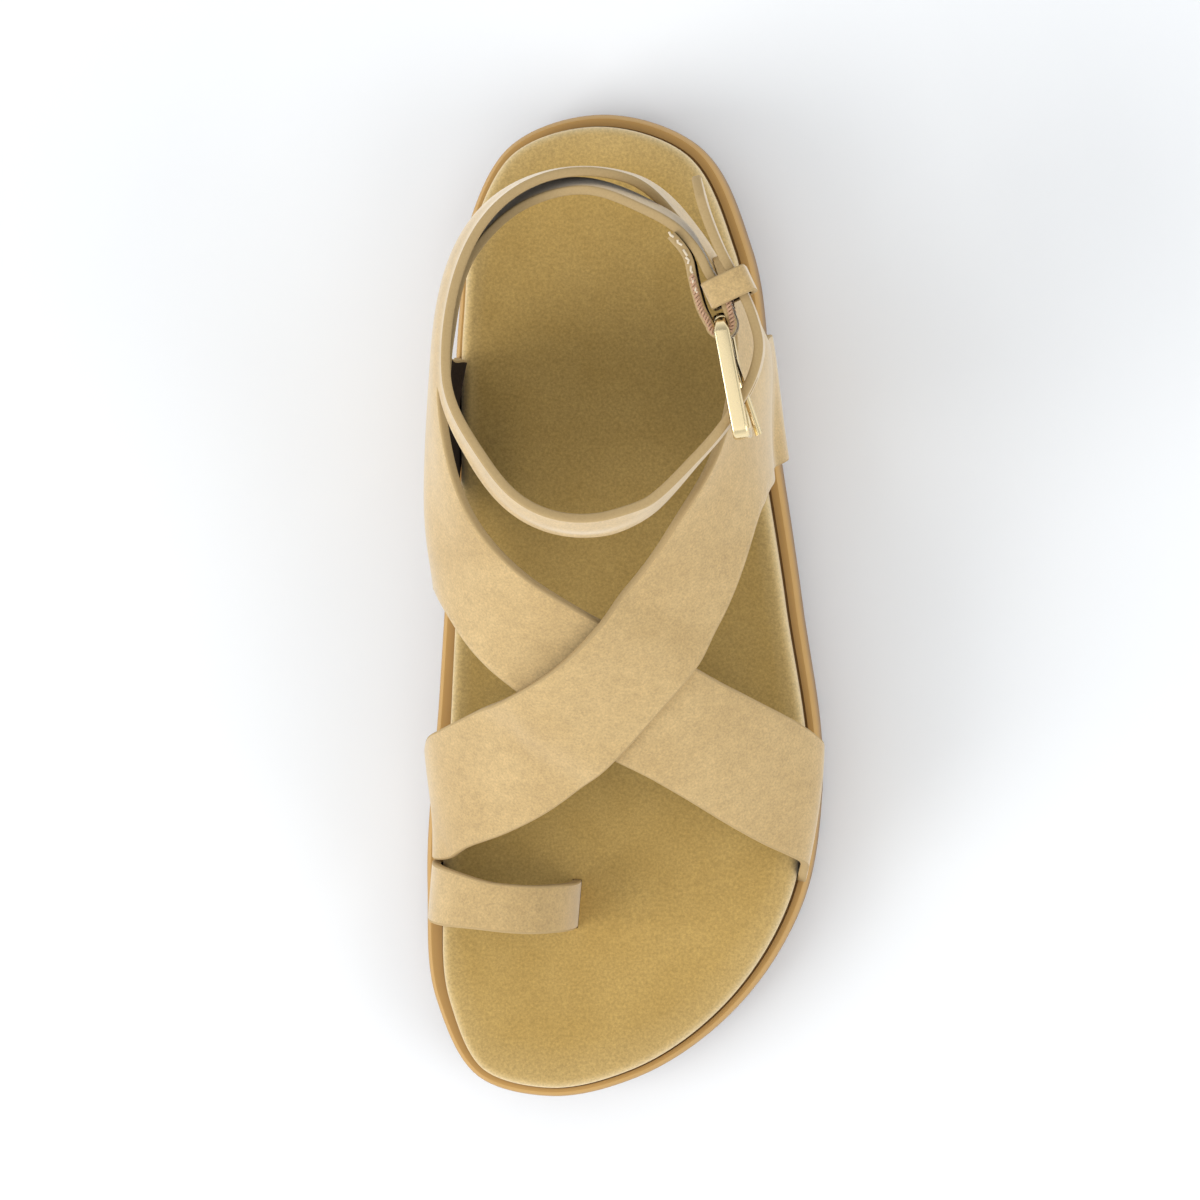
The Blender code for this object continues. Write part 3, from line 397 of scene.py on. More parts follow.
bed_rings = []
bed_painted_light = []
for share in BED_UNDER_SHARES:
    loop = shrunk(footbed_edge, share)
    bed_rings.append(np.column_stack((loop, profile(loop[:, 1])[0] + GAP)))
    bed_painted_light.append(0.0)
for inset, height, pale in FOOTBED_WALL:
    loop = footbed_edge - sole_out * inset
    seat, rim, _ = profile(loop[:, 1])
    bed_rings.append(np.column_stack((loop, seat + GAP + height if height >= 0.0 else rim + height)))
    bed_painted_light.append(pale)
rim_loop = footbed_edge - sole_out * FOOTBED_WALL[-1][0]
for share in BED_TOP_SHARES:
    loop = shrunk(rim_loop, share)
    bed_rings.append(np.column_stack((loop, footbed_top(loop, share))))
    bed_painted_light.append(FOOTBED_WALL[-1][2] * max(0.0, 1.0 - (1.0 - share) / FOOTBED_HIGHLIGHT_REACH))
bed_middles = [(*SOLE_MIDDLE, float(profile(middle_y)[0]) + GAP),
               (*SOLE_MIDDLE, float(footbed_top(SOLE_MIDDLE[None, :], 0.0)[0]))]
footbed = skin_piece("footbed_cover", bed_rings, bed_middles, bed_painted_light)

slot_low = float(profile(TOE_SLOT[1])[0]) + TOE_SLOT_FLOOR
slot_size = Matrix.Diagonal(
    ((STRAP_THICK + SLOT_ROOM) * MM, (TOE_LOOP_WIDTH + SLOT_ROOM) * MM, SLOT_TALL * MM, 1.0))
slot_place = Matrix.Translation(metres((*TOE_SLOT, slot_low + SLOT_TALL / 2.0)))
slot_turn = Matrix.Rotation(-math.atan(TOE_LOOP_SKEW), 4, "Z")
cut_away(footbed, [slot_place @ slot_turn @ slot_size])
footbed.data.shade_smooth()
footbed.data.set_sharp_from_angle(angle=math.radians(BED_SHARP))

# Buffed suede: a matt olive-tan nap of short fibres, clouded where the nap lies another way, with a painted
# highlight that makes it paler round the rounded rim. Its speckle is drawn at 0.7 mm, coarser than real fibre
# tufts.
SUEDE_TUFT_MM = 0.7
SUEDE_CLOUD_MM = 16.0
suede, tree, shader = new_material("olive_tan_buffed_suede")
place = node(tree, "ShaderNodeTexCoord").outputs["Object"]
painted_light_read = node(tree, "ShaderNodeAttribute", {"attribute_name": "painted_light_share"})
cloud = node(tree, "ShaderNodeTexNoise",
             {"Scale": 1.0 / (SUEDE_CLOUD_MM * MM), "Detail": 4.0, "Roughness": 0.6},
             {"Vector": place})
tuft = node(tree, "ShaderNodeTexNoise",
            {"Scale": 1.0 / (SUEDE_TUFT_MM * MM), "Detail": 3.0, "Roughness": 0.7},
            {"Vector": place})
base = node(tree, "ShaderNodeMix", {"data_type": "RGBA", 6: linear("#ad8c4a"), 7: linear("#bf9f5e")},
            {0: cloud.outputs["Fac"]})
# Painted highlight: paler on the rounded rim and its wall, as if they catch the light.
highlighted = node(tree, "ShaderNodeMix", {"data_type": "RGBA", 7: linear("#cdb585")},
             {0: painted_light_read.outputs["Fac"], 6: base.outputs[2]})
tuft_light = node(tree, "ShaderNodeMapRange",
                  {"From Min": 0.3, "From Max": 0.7, "To Min": 0.8, "To Max": 1.2},
                  {"Value": tuft.outputs["Fac"]})
speckled = node(tree, "ShaderNodeMix", {"data_type": "RGBA", "blend_type": "MULTIPLY", 0: 1.0},
                {6: highlighted.outputs[2], 7: tuft_light.outputs["Result"]})
tree.links.new(speckled.outputs[2], shader.inputs["Base Color"])
bump = node(tree, "ShaderNodeBump", {"Strength": 0.4, "Distance": 0.1 * MM},
            {"Height": tuft.outputs["Fac"]})
tree.links.new(bump.outputs["Normal"], shader.inputs["Normal"])
shader.inputs["Roughness"].default_value = 0.95
shader.inputs["Specular IOR Level"].default_value = 0.15
shader.inputs["Sheen Weight"].default_value = 0.6
shader.inputs["Sheen Roughness"].default_value = 0.5
shader.inputs["Sheen Tint"].default_value = linear("#fbeed6")
footbed.data.materials.append(suede)
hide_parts("footbed")


# Upper. Two nubuck straps cross on the instep: the under strap also makes the inner tab, the heel band and
# the ankle band, and the over strap makes the outer tab. Their ends go down between footbed and outsole,
# and the heel band's end is lapped inside the outer tab. Edges are cut and slightly rounded.
BAND_WIDTH = 12.6
BAND_MIDDLE = 107.2
EDGE_ROUND = 0.55
EDGE_SMOOTHING = 14
STRAP_STEP = 1.3
TURN_SCALE = 0.8
HEIGHT_SCALE = 1.3
LAST = np.array((
    # height, instep y, heel y, y of the widest place, inner x, outer x, fullness of the heel
    (12.0, -134.0, 120.0, -50.0, -41.0, 58.0, 0.0),
    (24.0, -124.0, 120.0, -43.0, -41.0, 58.5, 0.0),
    (36.0, -102.0, 119.0, -33.0, -41.0, 59.4, 0.0),
    (50.0, -72.0, 118.0, -13.0, -40.0, 53.2, 0.05),
    (65.0, -44.0, 114.0, 17.0, -38.0, 47.0, 0.15),
    (80.0, -15.0, 109.5, 45.0, -35.0, 42.0, 0.25),
    (95.0, 10.0, 107.2, 57.0, -32.0, 38.0, 0.22),
    (101.0, 18.8, 106.8, 58.0, -29.8, 37.5, 0.18),
    (108.0, 21.4, 106.3, 58.0, -28.7, 37.0, 0.15),
    (115.0, 24.0, 105.8, 58.0, -28.0, 36.5, 0.15),
    (125.0, 27.0, 105.0, 58.0, -27.5, 36.0, 0.15),
))
# Strap edges as places on the last: turn round the foot (0 outer side, 90 heel, 180 inner side), height.
UNDER_STRAP_REAR = (
    (357.0, 36.6), (353.6, 41.8), (348.2, 47.1), (331.7, 58.7), (317.2, 68.0), (309.1, 72.7), (292.0, 81.5),
    (276.0, 86.9), (261.5, 90.1), (245.7, 91.7), (235.1, 92.3), (224.7, 92.4), (212.2, 92.7),
    (201.2, 93.9), (195.4, 95.3), (190.0, 96.6),
)
UNDER_STRAP_FRONT = (
    (335.2, 31.8), (328.0, 39.0), (319.3, 45.2), (307.7, 52.7), (296.3, 59.6), (284.5, 65.2), (275.7, 67.8),
    (259.0, 71.6), (243.0, 73.4), (236.0, 73.0), (226.8, 72.1), (218.1, 71.0), (205.9, 68.7),
    (197.0, 66.0), (188.0, 62.4), (182.6, 60.0), (177.7, 57.3), (173.7, 54.4), (166.7, 48.0),
    (160.6, 41.0),
)
OVER_STRAP_REAR = (
    (191.8, 44.6), (205.9, 53.9), (217.8, 60.8), (227.4, 66.2), (236.1, 70.4), (243.0, 73.6), (253.2, 78.2),
    (260.7, 81.6), (268.4, 84.9), (276.1, 87.9), (284.0, 90.2), (292.2, 92.0), (302.0, 94.1), (312.1, 96.2),
    (324.0, 96.6), (342.0, 95.0), (360.0, 92.0), (378.0, 89.5), (393.0, 88.0),
)
OVER_STRAP_FRONT = (
    (199.5, 27.0), (207.0, 34.5), (216.5, 42.1), (234.6, 51.2), (249.9, 58.0), (264.2, 63.9), (275.7, 67.8),
    (285.8, 70.7), (293.3, 72.3), (301.1, 73.2), (308.0, 73.6), (320.7, 73.8), (333.4, 73.8), (343.9, 73.3),
    (352.0, 72.1), (357.1, 70.6), (363.1, 68.0), (368.0, 64.5), (372.6, 60.0), (376.0, 56.5),
    (382.7, 46.4), (388.0, 34.0),
)
INNER_TAB_BACK = ((143.0, 45.0), (149.0, 63.0), (149.0, 74.0), (143.0, 82.0))
OUTER_TAB_BACK = ((400.0, 45.0), (392.0, 62.0), (390.0, 72.0), (392.0, 78.5))
HEEL_BAND_LOW = ((132.0, 87.8), (115.0, 90.6), (90.0, 90.6), (65.0, 86.5), (45.0, 79.5))
HEEL_BAND_TOP = (
    (45.0, 92.0), (65.0, 99.5), (90.0, 103.5), (115.0, 106.5), (140.0, 109.0), (165.0, 111.0),
    (183.0, 112.0),
)
FRONT_BAND_LOW = (
    (324.0, 100.7), (298.0, 101.0), (272.0, 101.2), (250.0, 101.2), (226.0, 100.9), (208.0, 100.2),
    (195.0, 99.2),
)
FRONT_BAND_TOP = ((205.0, 113.0), (235.0, 113.8), (272.0, 113.8), (298.0, 113.6), (324.0, 113.3))
FORK = (184.0, 98.0)
HEEL_BAND_END = ((22.0, 82.0), (22.0, 69.0))
OUTER_HORN = ((398.0, 87.7), (397.0, 82.0))
FREE_END = np.array((
    # turn, x, y, lean of the band in degrees, from where it leaves the last to its tip
    (280.0, 11.0, 22.6, 17.0),
    (300.0, 21.0, 27.1, 7.0),
    (318.0, 31.0, 37.4, 1.0),
    (333.0, 37.6, 45.0, 0.0),
    (344.0, 41.6, 50.8, 0.0),
    (356.0, 45.2, 57.8, 0.0),
    (367.0, 46.6, 64.3, 0.0),
    (379.0, 45.2, 71.0, 0.0),
    (391.0, 42.5, 77.5, 0.0),
    (408.0, 37.2, 87.5, 0.0),
    (424.0, 33.4, 97.0, 0.0),
    (440.0, 31.0, 105.8, 0.0),
    (448.0, 29.8, 110.4, 0.0),
))
FREE_START = 276.0
FREE_BLEND = 30.0
TIP_TURN = 438.5
TIP_BACK = 8.0
TIP_SHAPE = (
    # turn past the tip, height over the band's middle
    (-1.0, 3.6),
    (2.0, 0.0),
    (-1.0, -3.6),
)
# The prong's hole: turn, height, half its length as a turn, half its height.
PRONG_HOLE = (350.5, 107.2, 4.6, 1.7)
HOLE_POINTS = 20
# Where a side of the last stands off its plain shape: the inner arch, the inner front of the ankle,
# the outer waist and the flare of the outer tab.
SIDE_SHAPING = (
    # side (-1 inner, 1 outer), amount towards the outer side, y, height, reach along, reach in height
    (-1.0, 3.2, 0.0, 58.0, 17.0, 15.0),
    (-1.0, 4.2, 35.0, 112.0, 14.0, 14.0),
    (1.0, -6.2, 36.0, 42.0, 24.0, 14.0),
    (1.0, 4.0, 68.0, 66.0, 16.0, 18.0),
)
OUTER_TAB_STEP = 1.1
OUTER_TAB_Y = 45.0
OUTER_TAB_REACH = 30.0
TUCK_HEIGHT = 11.0
TUCK_RAMP = 12.0
# How the pieces lap: the step of one over the other and the ramps to it, then the over strap's bridge at the
# crossing: its height, its width, its middle and its reach round the foot.
LAP_STEP = STRAP_THICK + 0.1
HEEL_LAP_START = 74.0
HEEL_LAP_RAMP = 26.0
LIFT_RAMP = 7.0
CROSSING_BRIDGE = 3.0
BRIDGE_WIDE = 16.0
BRIDGE_TURN = 262.0
BRIDGE_REACH = 20.0
# Where the strap ends stand on the ledge, as turns round the foot.
BALL_OUTER_END = (341.0, 362.0)
WAIST_INNER_END = (150.0, 139.0)
BALL_INNER_END = (194.0, 177.0)
WAIST_OUTER_END = (390.5, 404.0)
# How an end is settled on the ledge: points along it, height tried first, rounds.
END_POINTS = 5
LEDGE_GUESS = 22.0
SETTLE_ROUNDS = 8
# Share of a step that the points inside a strap keep from its edges.
GRID_MARGIN = 0.6


def footbed_side(y, outer):
    """Where the footbed's side stands at a place along the foot."""
    heel = int(np.argmax(footbed_edge[:, 1]))
    toe = int(np.argmin(footbed_edge[:, 1]))
    outer_run = footbed_edge[heel:toe + 1][::-1]
    inner_run = np.vstack((footbed_edge[toe:], footbed_edge[:heel + 1]))
    return np.where(outer, np.interp(y, outer_run[:, 1], outer_run[:, 0]),
                    np.interp(y, inner_run[:, 1], inner_run[:, 0]))


def on_last(turn, height):
    """A place on the last, tucked in beside the footbed near the sole."""
    angle = np.radians(turn)
    instep, heel, widest, inner, outer, full = read_table(LAST, height)
    across = np.cos(angle)
    along = np.sin(angle)
    round_heel = np.where(along > 0.0, 1.0 + full * along ** 2, 1.0)
    x = (inner + outer) / 2.0 + across * round_heel * (outer - inner) / 2.0
    y = widest + along * np.where(along > 0.0, heel - widest, widest - instep)
    for side, amount, at_y, at_height, reach_y, reach_height in SIDE_SHAPING:
        near = np.exp(-((y - at_y) / reach_y) ** 2 - ((height - at_height) / reach_height) ** 2)
        x = x + np.clip(side * across, 0.0, 1.0) * amount * near
    rim = profile(y)[1]
    step = GAP + OUTER_TAB_STEP * np.exp(-((y - OUTER_TAB_Y) / OUTER_TAB_REACH) ** 2)
    beside = footbed_side(y, across > 0.0) + np.where(across > 0.0, step, -GAP)
    tuck = smooth((rim + TUCK_HEIGHT - height) / TUCK_RAMP)
    return np.stack((x + tuck * (beside - x), y, height + 0.0 * x), axis=-1)


def outward(turn, height):
    """Direction straight out of the last."""
    round_step = on_last(turn + 0.5, height) - on_last(turn - 0.5, height)
    up_step = on_last(turn, height + 0.5) - on_last(turn, height - 0.5)
    return unit(np.cross(round_step, up_step))


def on_free_end(turn, height):
    """A place on the band where it has left the last for the buckle and the keeper."""
    x, y, lean = read_table(FREE_END, turn)
    inner_turn = np.clip(turn, FREE_END[0, 0] + 1.0, FREE_END[-1, 0] - 1.0)
    plan = FREE_END[:, 1:3]
    ahead = unit(flow(FREE_END[:, 0], plan, inner_turn + 1.0) - flow(FREE_END[:, 0], plan, inner_turn - 1.0))
    shift = np.tan(np.radians(lean)) * (height - BAND_MIDDLE)
    return np.stack((x - ahead[..., 1] * shift, y + ahead[..., 0] * shift, height + 0.0 * x), axis=-1)


def under_strap_place(turn, height):
    """Places of the under strap's piece; its heel end is let in behind the outer tab."""
    lap = -LAP_STEP * smooth((HEEL_LAP_START - turn) / HEEL_LAP_RAMP)
    held = on_last(turn, height) + outward(turn, height) * lap[..., None]
    free = smooth((turn - FREE_START) / FREE_BLEND) * (height > BAND_MIDDLE - BAND_WIDTH)
    return held + (on_free_end(turn, height) - held) * free[..., None]


def over_strap_place(turn, height):
    """Places of the over strap's piece, lifted where it crosses the under strap."""
    rear = np.array(UNDER_STRAP_REAR)[::-1]
    front = np.array(UNDER_STRAP_FRONT[:-2])[::-1]
    below = np.interp(turn, front[:, 0], front[:, 1]) - height
    above = height - np.interp(turn, rear[:, 0], rear[:, 1])
    clear = np.maximum(np.maximum(below, above), 0.0)
    lift = LAP_STEP * smooth(1.0 - clear / LIFT_RAMP)
    own_rear = np.array(OVER_STRAP_REAR)
    from_rear = np.interp(turn, own_rear[:, 0], own_rear[:, 1]) - height
    near_turn = np.exp(-((turn - BRIDGE_TURN) / BRIDGE_REACH) ** 2)
    bridge = smooth(1.0 - from_rear / BRIDGE_WIDE) * near_turn
    lift = lift + CROSSING_BRIDGE * bridge
    return on_last(turn, height) + outward(turn, height) * lift[..., None]


def path_through(rows, step):
    """Points a step apart on the smooth path through the rows."""
    rows = np.asarray(rows, float)
    reach = np.concatenate(((0.0,), np.cumsum(np.linalg.norm(np.diff(rows, axis=0), axis=1))))
    count = max(2, int(round(reach[-1] / step)) + 1)
    return flow(reach, rows, np.linspace(0.0, reach[-1], count))


def sole_end(first, last):
    """The row of places along a strap's end on the outsole's ledge."""
    row = []
    for turn in np.linspace(first, last, END_POINTS):
        height = LEDGE_GUESS
        for _ in range(SETTLE_ROUNDS):
            height = float(profile(on_last(np.array(turn), np.array(height))[1])[0]) + GAP
        row.append((turn, height))
    return row


def inside(points, ring):
    """Which points lie inside a closed ring, and how far each is from it."""
    crossings = np.zeros(len(points), int)
    nearest = np.full(len(points), np.inf)
    for a, b in zip(ring, np.roll(ring, -1, axis=0)):
        over = (a[1] > points[:, 1]) != (b[1] > points[:, 1])
        rise = b[1] - a[1] if b[1] != a[1] else 1.0
        crossings += over & (points[:, 0] < a[0] + (points[:, 1] - a[1]) / rise * (b[0] - a[0]))
        share = np.clip(((points - a) @ (b - a)) / ((b - a) @ (b - a)), 0.0, 1.0)
        nearest = np.minimum(nearest, np.linalg.norm(points - a - share[:, None] * (b - a), axis=1))
    return crossings % 2 == 1, nearest


def leather_piece(name, points, faces, kinds):
    """A strap with nubuck on its face, cut edges and knit on its back, by the kind of each face."""
    strap = add_piece(name, points, faces)
    strap.data.polygons.foreach_set("material_index", kinds)
    for material in (nubuck, cut_edge, strap_back):
        strap.data.materials.append(material)
    return strap


def cut_strap(name, edges, holes, place):
    """A strap piece cut to its outline on the last, with its thickness and rounded cut edges."""
    scale = np.array((TURN_SCALE, HEIGHT_SCALE))
    border = []
    for edge in edges:
        points = path_through(np.array(edge) * scale, STRAP_STEP)
        for _ in range(EDGE_SMOOTHING if len(points) > 2 * EDGE_SMOOTHING else 0):
            points[1:-1] = (points[:-2] + 2.0 * points[1:-1] + points[2:]) / 4.0
        border.extend(points[1:] if border and np.allclose(border[-1], points[0]) else points)
    border = np.array(border[:-1] if np.allclose(border[0], border[-1]) else border)
    rings = [border, *[np.array(hole) * scale for hole in holes]]
    low = border.min(axis=0)
    high = border.max(axis=0)
    columns = np.arange(low[0], high[0], STRAP_STEP)
    lines = np.arange(low[1], high[1], STRAP_STEP)
    grid = np.stack(np.meshgrid(columns, lines), axis=-1).reshape(-1, 2)
    kept, margin = inside(grid, border)
    for hole in rings[1:]:
        in_hole, from_hole = inside(grid, hole)
        kept &= ~in_hole
        margin = np.minimum(margin, from_hole)
    grid = grid[kept & (margin > GRID_MARGIN * STRAP_STEP)]
    flat = np.vstack((*rings, grid))
    links = []
    start = 0
    for ring in rings:
        links += [(start + i, start + (i + 1) % len(ring)) for i in range(len(ring))]
        start += len(ring)
    flat, _, faces, sources, _, _ = delaunay_2d_cdt([Vector(point) for point in flat], links, [], 0, 1e-6)
    flat = np.array(flat)
    faces = np.array([tuple(face) for face in faces])
    middles = flat[faces].mean(axis=1)
    kept = inside(middles, border)[0]
    for hole in rings[1:]:
        kept &= ~inside(middles, hole)[0]
    faces = faces[kept]
    now_at = {source: made for made, group in enumerate(sources) for source in group}
    turn, height = flat[:, 0] / TURN_SCALE, flat[:, 1] / HEIGHT_SCALE
    inner = place(turn, height)
    corner = inner[faces]
    face_normal = np.cross(corner[:, 1] - corner[:, 0], corner[:, 2] - corner[:, 0])
    if (face_normal * outward(turn, height)[faces[:, 0]]).sum() < 0.0:
        faces = faces[:, ::-1]
        face_normal = -face_normal
    normal = np.zeros_like(inner)
    for k in range(3):
        np.add.at(normal, faces[:, k], face_normal)
    normal = normal / np.maximum(np.linalg.norm(normal, axis=1, keepdims=True), 1e-9)
    toward = np.zeros_like(inner)
    for k in range(3):
        np.add.at(toward, faces[:, k], corner.mean(axis=1) - inner[faces[:, k]])
    outer = inner + normal * STRAP_THICK
    points = [inner, outer]
    strap_faces = [tuple(face[::-1]) for face in faces] + [tuple(face + len(inner)) for face in faces]
    kinds = [2] * len(faces) + [0] * len(faces)
    count = 2 * len(inner)
    start = 0
    bevel = EDGE_ROUND * (1.0 - math.sqrt(0.5))
    for ring in rings:
        ids = np.array([now_at[start + i] for i in range(len(ring))])
        start += len(ring)
        along = np.roll(inner[ids], -1, axis=0) - np.roll(inner[ids], 1, axis=0)
        inset = unit(np.cross(normal[ids], along))
        facing = np.sign((inset * toward[ids]).sum())
        inset = inset * facing
        rows = [ids]
        for back, up in ((bevel, bevel), (0.0, EDGE_ROUND), (0.0, STRAP_THICK - EDGE_ROUND),
                         (bevel, STRAP_THICK - bevel)):
            points.append(inner[ids] + inset * back + normal[ids] * up)
            rows.append(count + np.arange(len(ids)))
            count += len(ids)
        rows.append(ids + len(inner))
        points[0][ids] += inset * EDGE_ROUND
        points[1][ids] += inset * EDGE_ROUND
        for row, following in zip(rows, rows[1:]):
            for i in range(len(ids)):
                j = (i + 1) % len(ids)
                quad = (row[i], row[j], following[j], following[i])
                strap_faces.append(quad if facing > 0.0 else quad[::-1])
                kinds.append(1)
    strap_faces = [tuple(int(i) for i in face) for face in strap_faces]
    return leather_piece(name, np.vstack(points), strap_faces, kinds)


# Nubuck: leather buffed on its grain side to a short velvet nap. It is matt and sandy, speckled by the pores
# and clouded where the nap lies another way. The speckle is drawn at 0.6 mm, coarser than real pores.
NUBUCK_PORE_MM = 0.6
NUBUCK_NAP_MM = 2.6
NUBUCK_CLOUD_MM = 22.0
nubuck, tree, shader = new_material("sand_nubuck")
place = node(tree, "ShaderNodeTexCoord").outputs["Object"]
cloud = node(tree, "ShaderNodeTexNoise",
             {"Scale": 1.0 / (NUBUCK_CLOUD_MM * MM), "Detail": 4.0, "Roughness": 0.6},
             {"Vector": place})
nap = node(tree, "ShaderNodeTexNoise", {"Scale": 1.0 / (NUBUCK_NAP_MM * MM), "Detail": 3.0},
           {"Vector": place})
pore = node(tree, "ShaderNodeTexNoise",
            {"Scale": 1.0 / (NUBUCK_PORE_MM * MM), "Detail": 3.0, "Roughness": 0.7},
            {"Vector": place})
base = node(tree, "ShaderNodeMix", {"data_type": "RGBA", 6: linear("#af9160"), 7: linear("#ceb280")},
            {0: cloud.outputs["Fac"]})
pore_light = node(tree, "ShaderNodeMapRange",
                  {"From Min": 0.3, "From Max": 0.7, "To Min": 0.82, "To Max": 1.18},
                  {"Value": pore.outputs["Fac"]})
nap_light = node(tree, "ShaderNodeMapRange",
                 {"From Min": 0.3, "From Max": 0.7, "To Min": 0.94, "To Max": 1.06},
                 {"Value": nap.outputs["Fac"]})
napped = node(tree, "ShaderNodeMix", {"data_type": "RGBA", "blend_type": "MULTIPLY", 0: 1.0},
              {6: base.outputs[2], 7: nap_light.outputs["Result"]})
speckled = node(tree, "ShaderNodeMix", {"data_type": "RGBA", "blend_type": "MULTIPLY", 0: 1.0},
                {6: napped.outputs[2], 7: pore_light.outputs["Result"]})
tree.links.new(speckled.outputs[2], shader.inputs["Base Color"])
nap_height = node(tree, "ShaderNodeMath", {"operation": "MULTIPLY_ADD", 1: 0.5},
                  {0: nap.outputs["Fac"], 2: pore.outputs["Fac"]})
bump = node(tree, "ShaderNodeBump", {"Strength": 0.4, "Distance": 0.1 * MM},
            {"Height": nap_height.outputs["Value"]})
tree.links.new(bump.outputs["Normal"], shader.inputs["Normal"])
shader.inputs["Roughness"].default_value = 0.92
shader.inputs["Specular IOR Level"].default_value = 0.2
shader.inputs["Sheen Weight"].default_value = 0.8
shader.inputs["Sheen Roughness"].default_value = 0.45
shader.inputs["Sheen Tint"].default_value = linear("#fff8ec")

# Cut leather edge: the fibres of the hide's middle, a shade deeper than its face, rubbed but not painted.
# The fibres are drawn at 0.5 mm so that they show.
EDGE_FIBRE_MM = 0.5
cut_edge, tree, shader = new_material("rubbed_cut_leather_edge")
place = node(tree, "ShaderNodeTexCoord").outputs["Object"]
fibre = node(tree, "ShaderNodeTexNoise", {"Scale": 1.0 / (EDGE_FIBRE_MM * MM), "Detail": 3.0},
             {"Vector": place})
tint = node(tree, "ShaderNodeMix", {"data_type": "RGBA", 6: linear("#a98e61"), 7: linear("#bba173")},
            {0: fibre.outputs["Fac"]})
tree.links.new(tint.outputs[2], shader.inputs["Base Color"])
bump = node(tree, "ShaderNodeBump", {"Strength": 0.3, "Distance": 0.06 * MM},
            {"Height": fibre.outputs["Fac"]})
tree.links.new(bump.outputs["Normal"], shader.inputs["Normal"])
shader.inputs["Roughness"].default_value = 0.7
shader.inputs["Specular IOR Level"].default_value = 0.3

# Strap backing: a thin knitted lining bonded to the flesh side, pebbled by the knit's loops. Its brown is
# darkened to near-black as painted shade, so the gaps between the straps read as deep shadow.
KNIT_LOOP_MM = 0.9
strap_back, tree, shader = new_material("knit_backing_painted_shade")
place = node(tree, "ShaderNodeTexCoord").outputs["Object"]
knit = node(tree, "ShaderNodeTexVoronoi", {"Scale": 1.0 / (KNIT_LOOP_MM * MM)}, {"Vector": place})
# Painted shade: the knit's near-black brown stands in for the shadow in the gaps between the straps.
tint = node(tree, "ShaderNodeMix", {"data_type": "RGBA", 6: linear("#33261c"), 7: linear("#1f1712")},
            {0: knit.outputs["Distance"]})
tree.links.new(tint.outputs[2], shader.inputs["Base Color"])
bump = node(tree, "ShaderNodeBump", {"Strength": 0.5, "Distance": 0.15 * MM, "invert": True},
            {"Height": knit.outputs["Distance"]})
tree.links.new(bump.outputs["Normal"], shader.inputs["Normal"])
shader.inputs["Roughness"].default_value = 0.9
shader.inputs["Specular IOR Level"].default_value = 0.2

ball_outer = sole_end(*BALL_OUTER_END)
waist_inner = sole_end(*WAIST_INNER_END)
half_band = BAND_WIDTH / 2.0
free_turns = (344.0, 367.0, 391.0, 415.0, TIP_TURN - TIP_BACK)
free_top = [(turn, BAND_MIDDLE + half_band) for turn in free_turns]
free_low = [(turn, BAND_MIDDLE - half_band) for turn in free_turns[::-1]]
tip = [(TIP_TURN + turn, BAND_MIDDLE + height) for turn, height in TIP_SHAPE]
hole_turn, hole_height, hole_long, hole_tall = PRONG_HOLE
prong_hole = [(hole_turn + hole_long * math.cos(a), hole_height + hole_tall * math.sin(a))
              for a in np.linspace(0.0, math.tau, HOLE_POINTS, endpoint=False)]
under_strap = cut_strap("under_strap_and_bands", (
    (ball_outer[0], *UNDER_STRAP_FRONT, waist_inner[0]),
    waist_inner,
    (waist_inner[-1], *INNER_TAB_BACK, *HEEL_BAND_LOW, HEEL_BAND_END[1]),
    (HEEL_BAND_END[1], HEEL_BAND_END[0]),
    (HEEL_BAND_END[0], *HEEL_BAND_TOP, *FRONT_BAND_TOP, *free_top),
    (free_top[-1], *tip, free_low[0]),
    (*free_low, *FRONT_BAND_LOW, FORK),
    (FORK, *UNDER_STRAP_REAR[::-1], ball_outer[-1]),
    ball_outer[::-1],
), (prong_hole,), under_strap_place)
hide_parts("upper")

ball_inner = sole_end(*BALL_INNER_END)
waist_outer = sole_end(*WAIST_OUTER_END)
over_strap = cut_strap("over_strap_and_outer_tab", (
    (ball_inner[0], *OVER_STRAP_FRONT, waist_outer[0]),
    waist_outer,
    (waist_outer[-1], *OUTER_TAB_BACK, OUTER_HORN[1]),
    (OUTER_HORN[1], OUTER_HORN[0]),
    (OUTER_HORN[0], *OVER_STRAP_REAR[::-1], ball_inner[-1]),
    ball_inner[::-1],
), (), over_strap_place)
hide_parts("upper")


# Toe loop. A strip of the same nubuck over the big toe, widest at its inner end, which is let in beside the
# footbed; the other end goes down into the slot of the footbed. It stands as a low arch by its own stiffness.
TOE_LOOP = (
    # x, y, z of the loop's middle, from the big toe's inner side over to its slot in the footbed
    (-31.5, -77.2, 45.5),
    (-23.0, -78.4, 48.6),
    (-14.0, -79.0, 48.0),
    (-7.8, -79.0, 43.0),
    (-5.0, -79.1, 35.0),
    (-4.5, -79.1, 28.0),
)
TOE_LOOP_INNER_END = 15.4
TOE_LOOP_INNER_Y = -75.6
TOE_LOOP_RISE = np.array((2.6, -0.6, 11.0))
TOE_LOOP_STEP = 1.2
FACE_POINTS = 8
STRIP_SHARP = 60.0


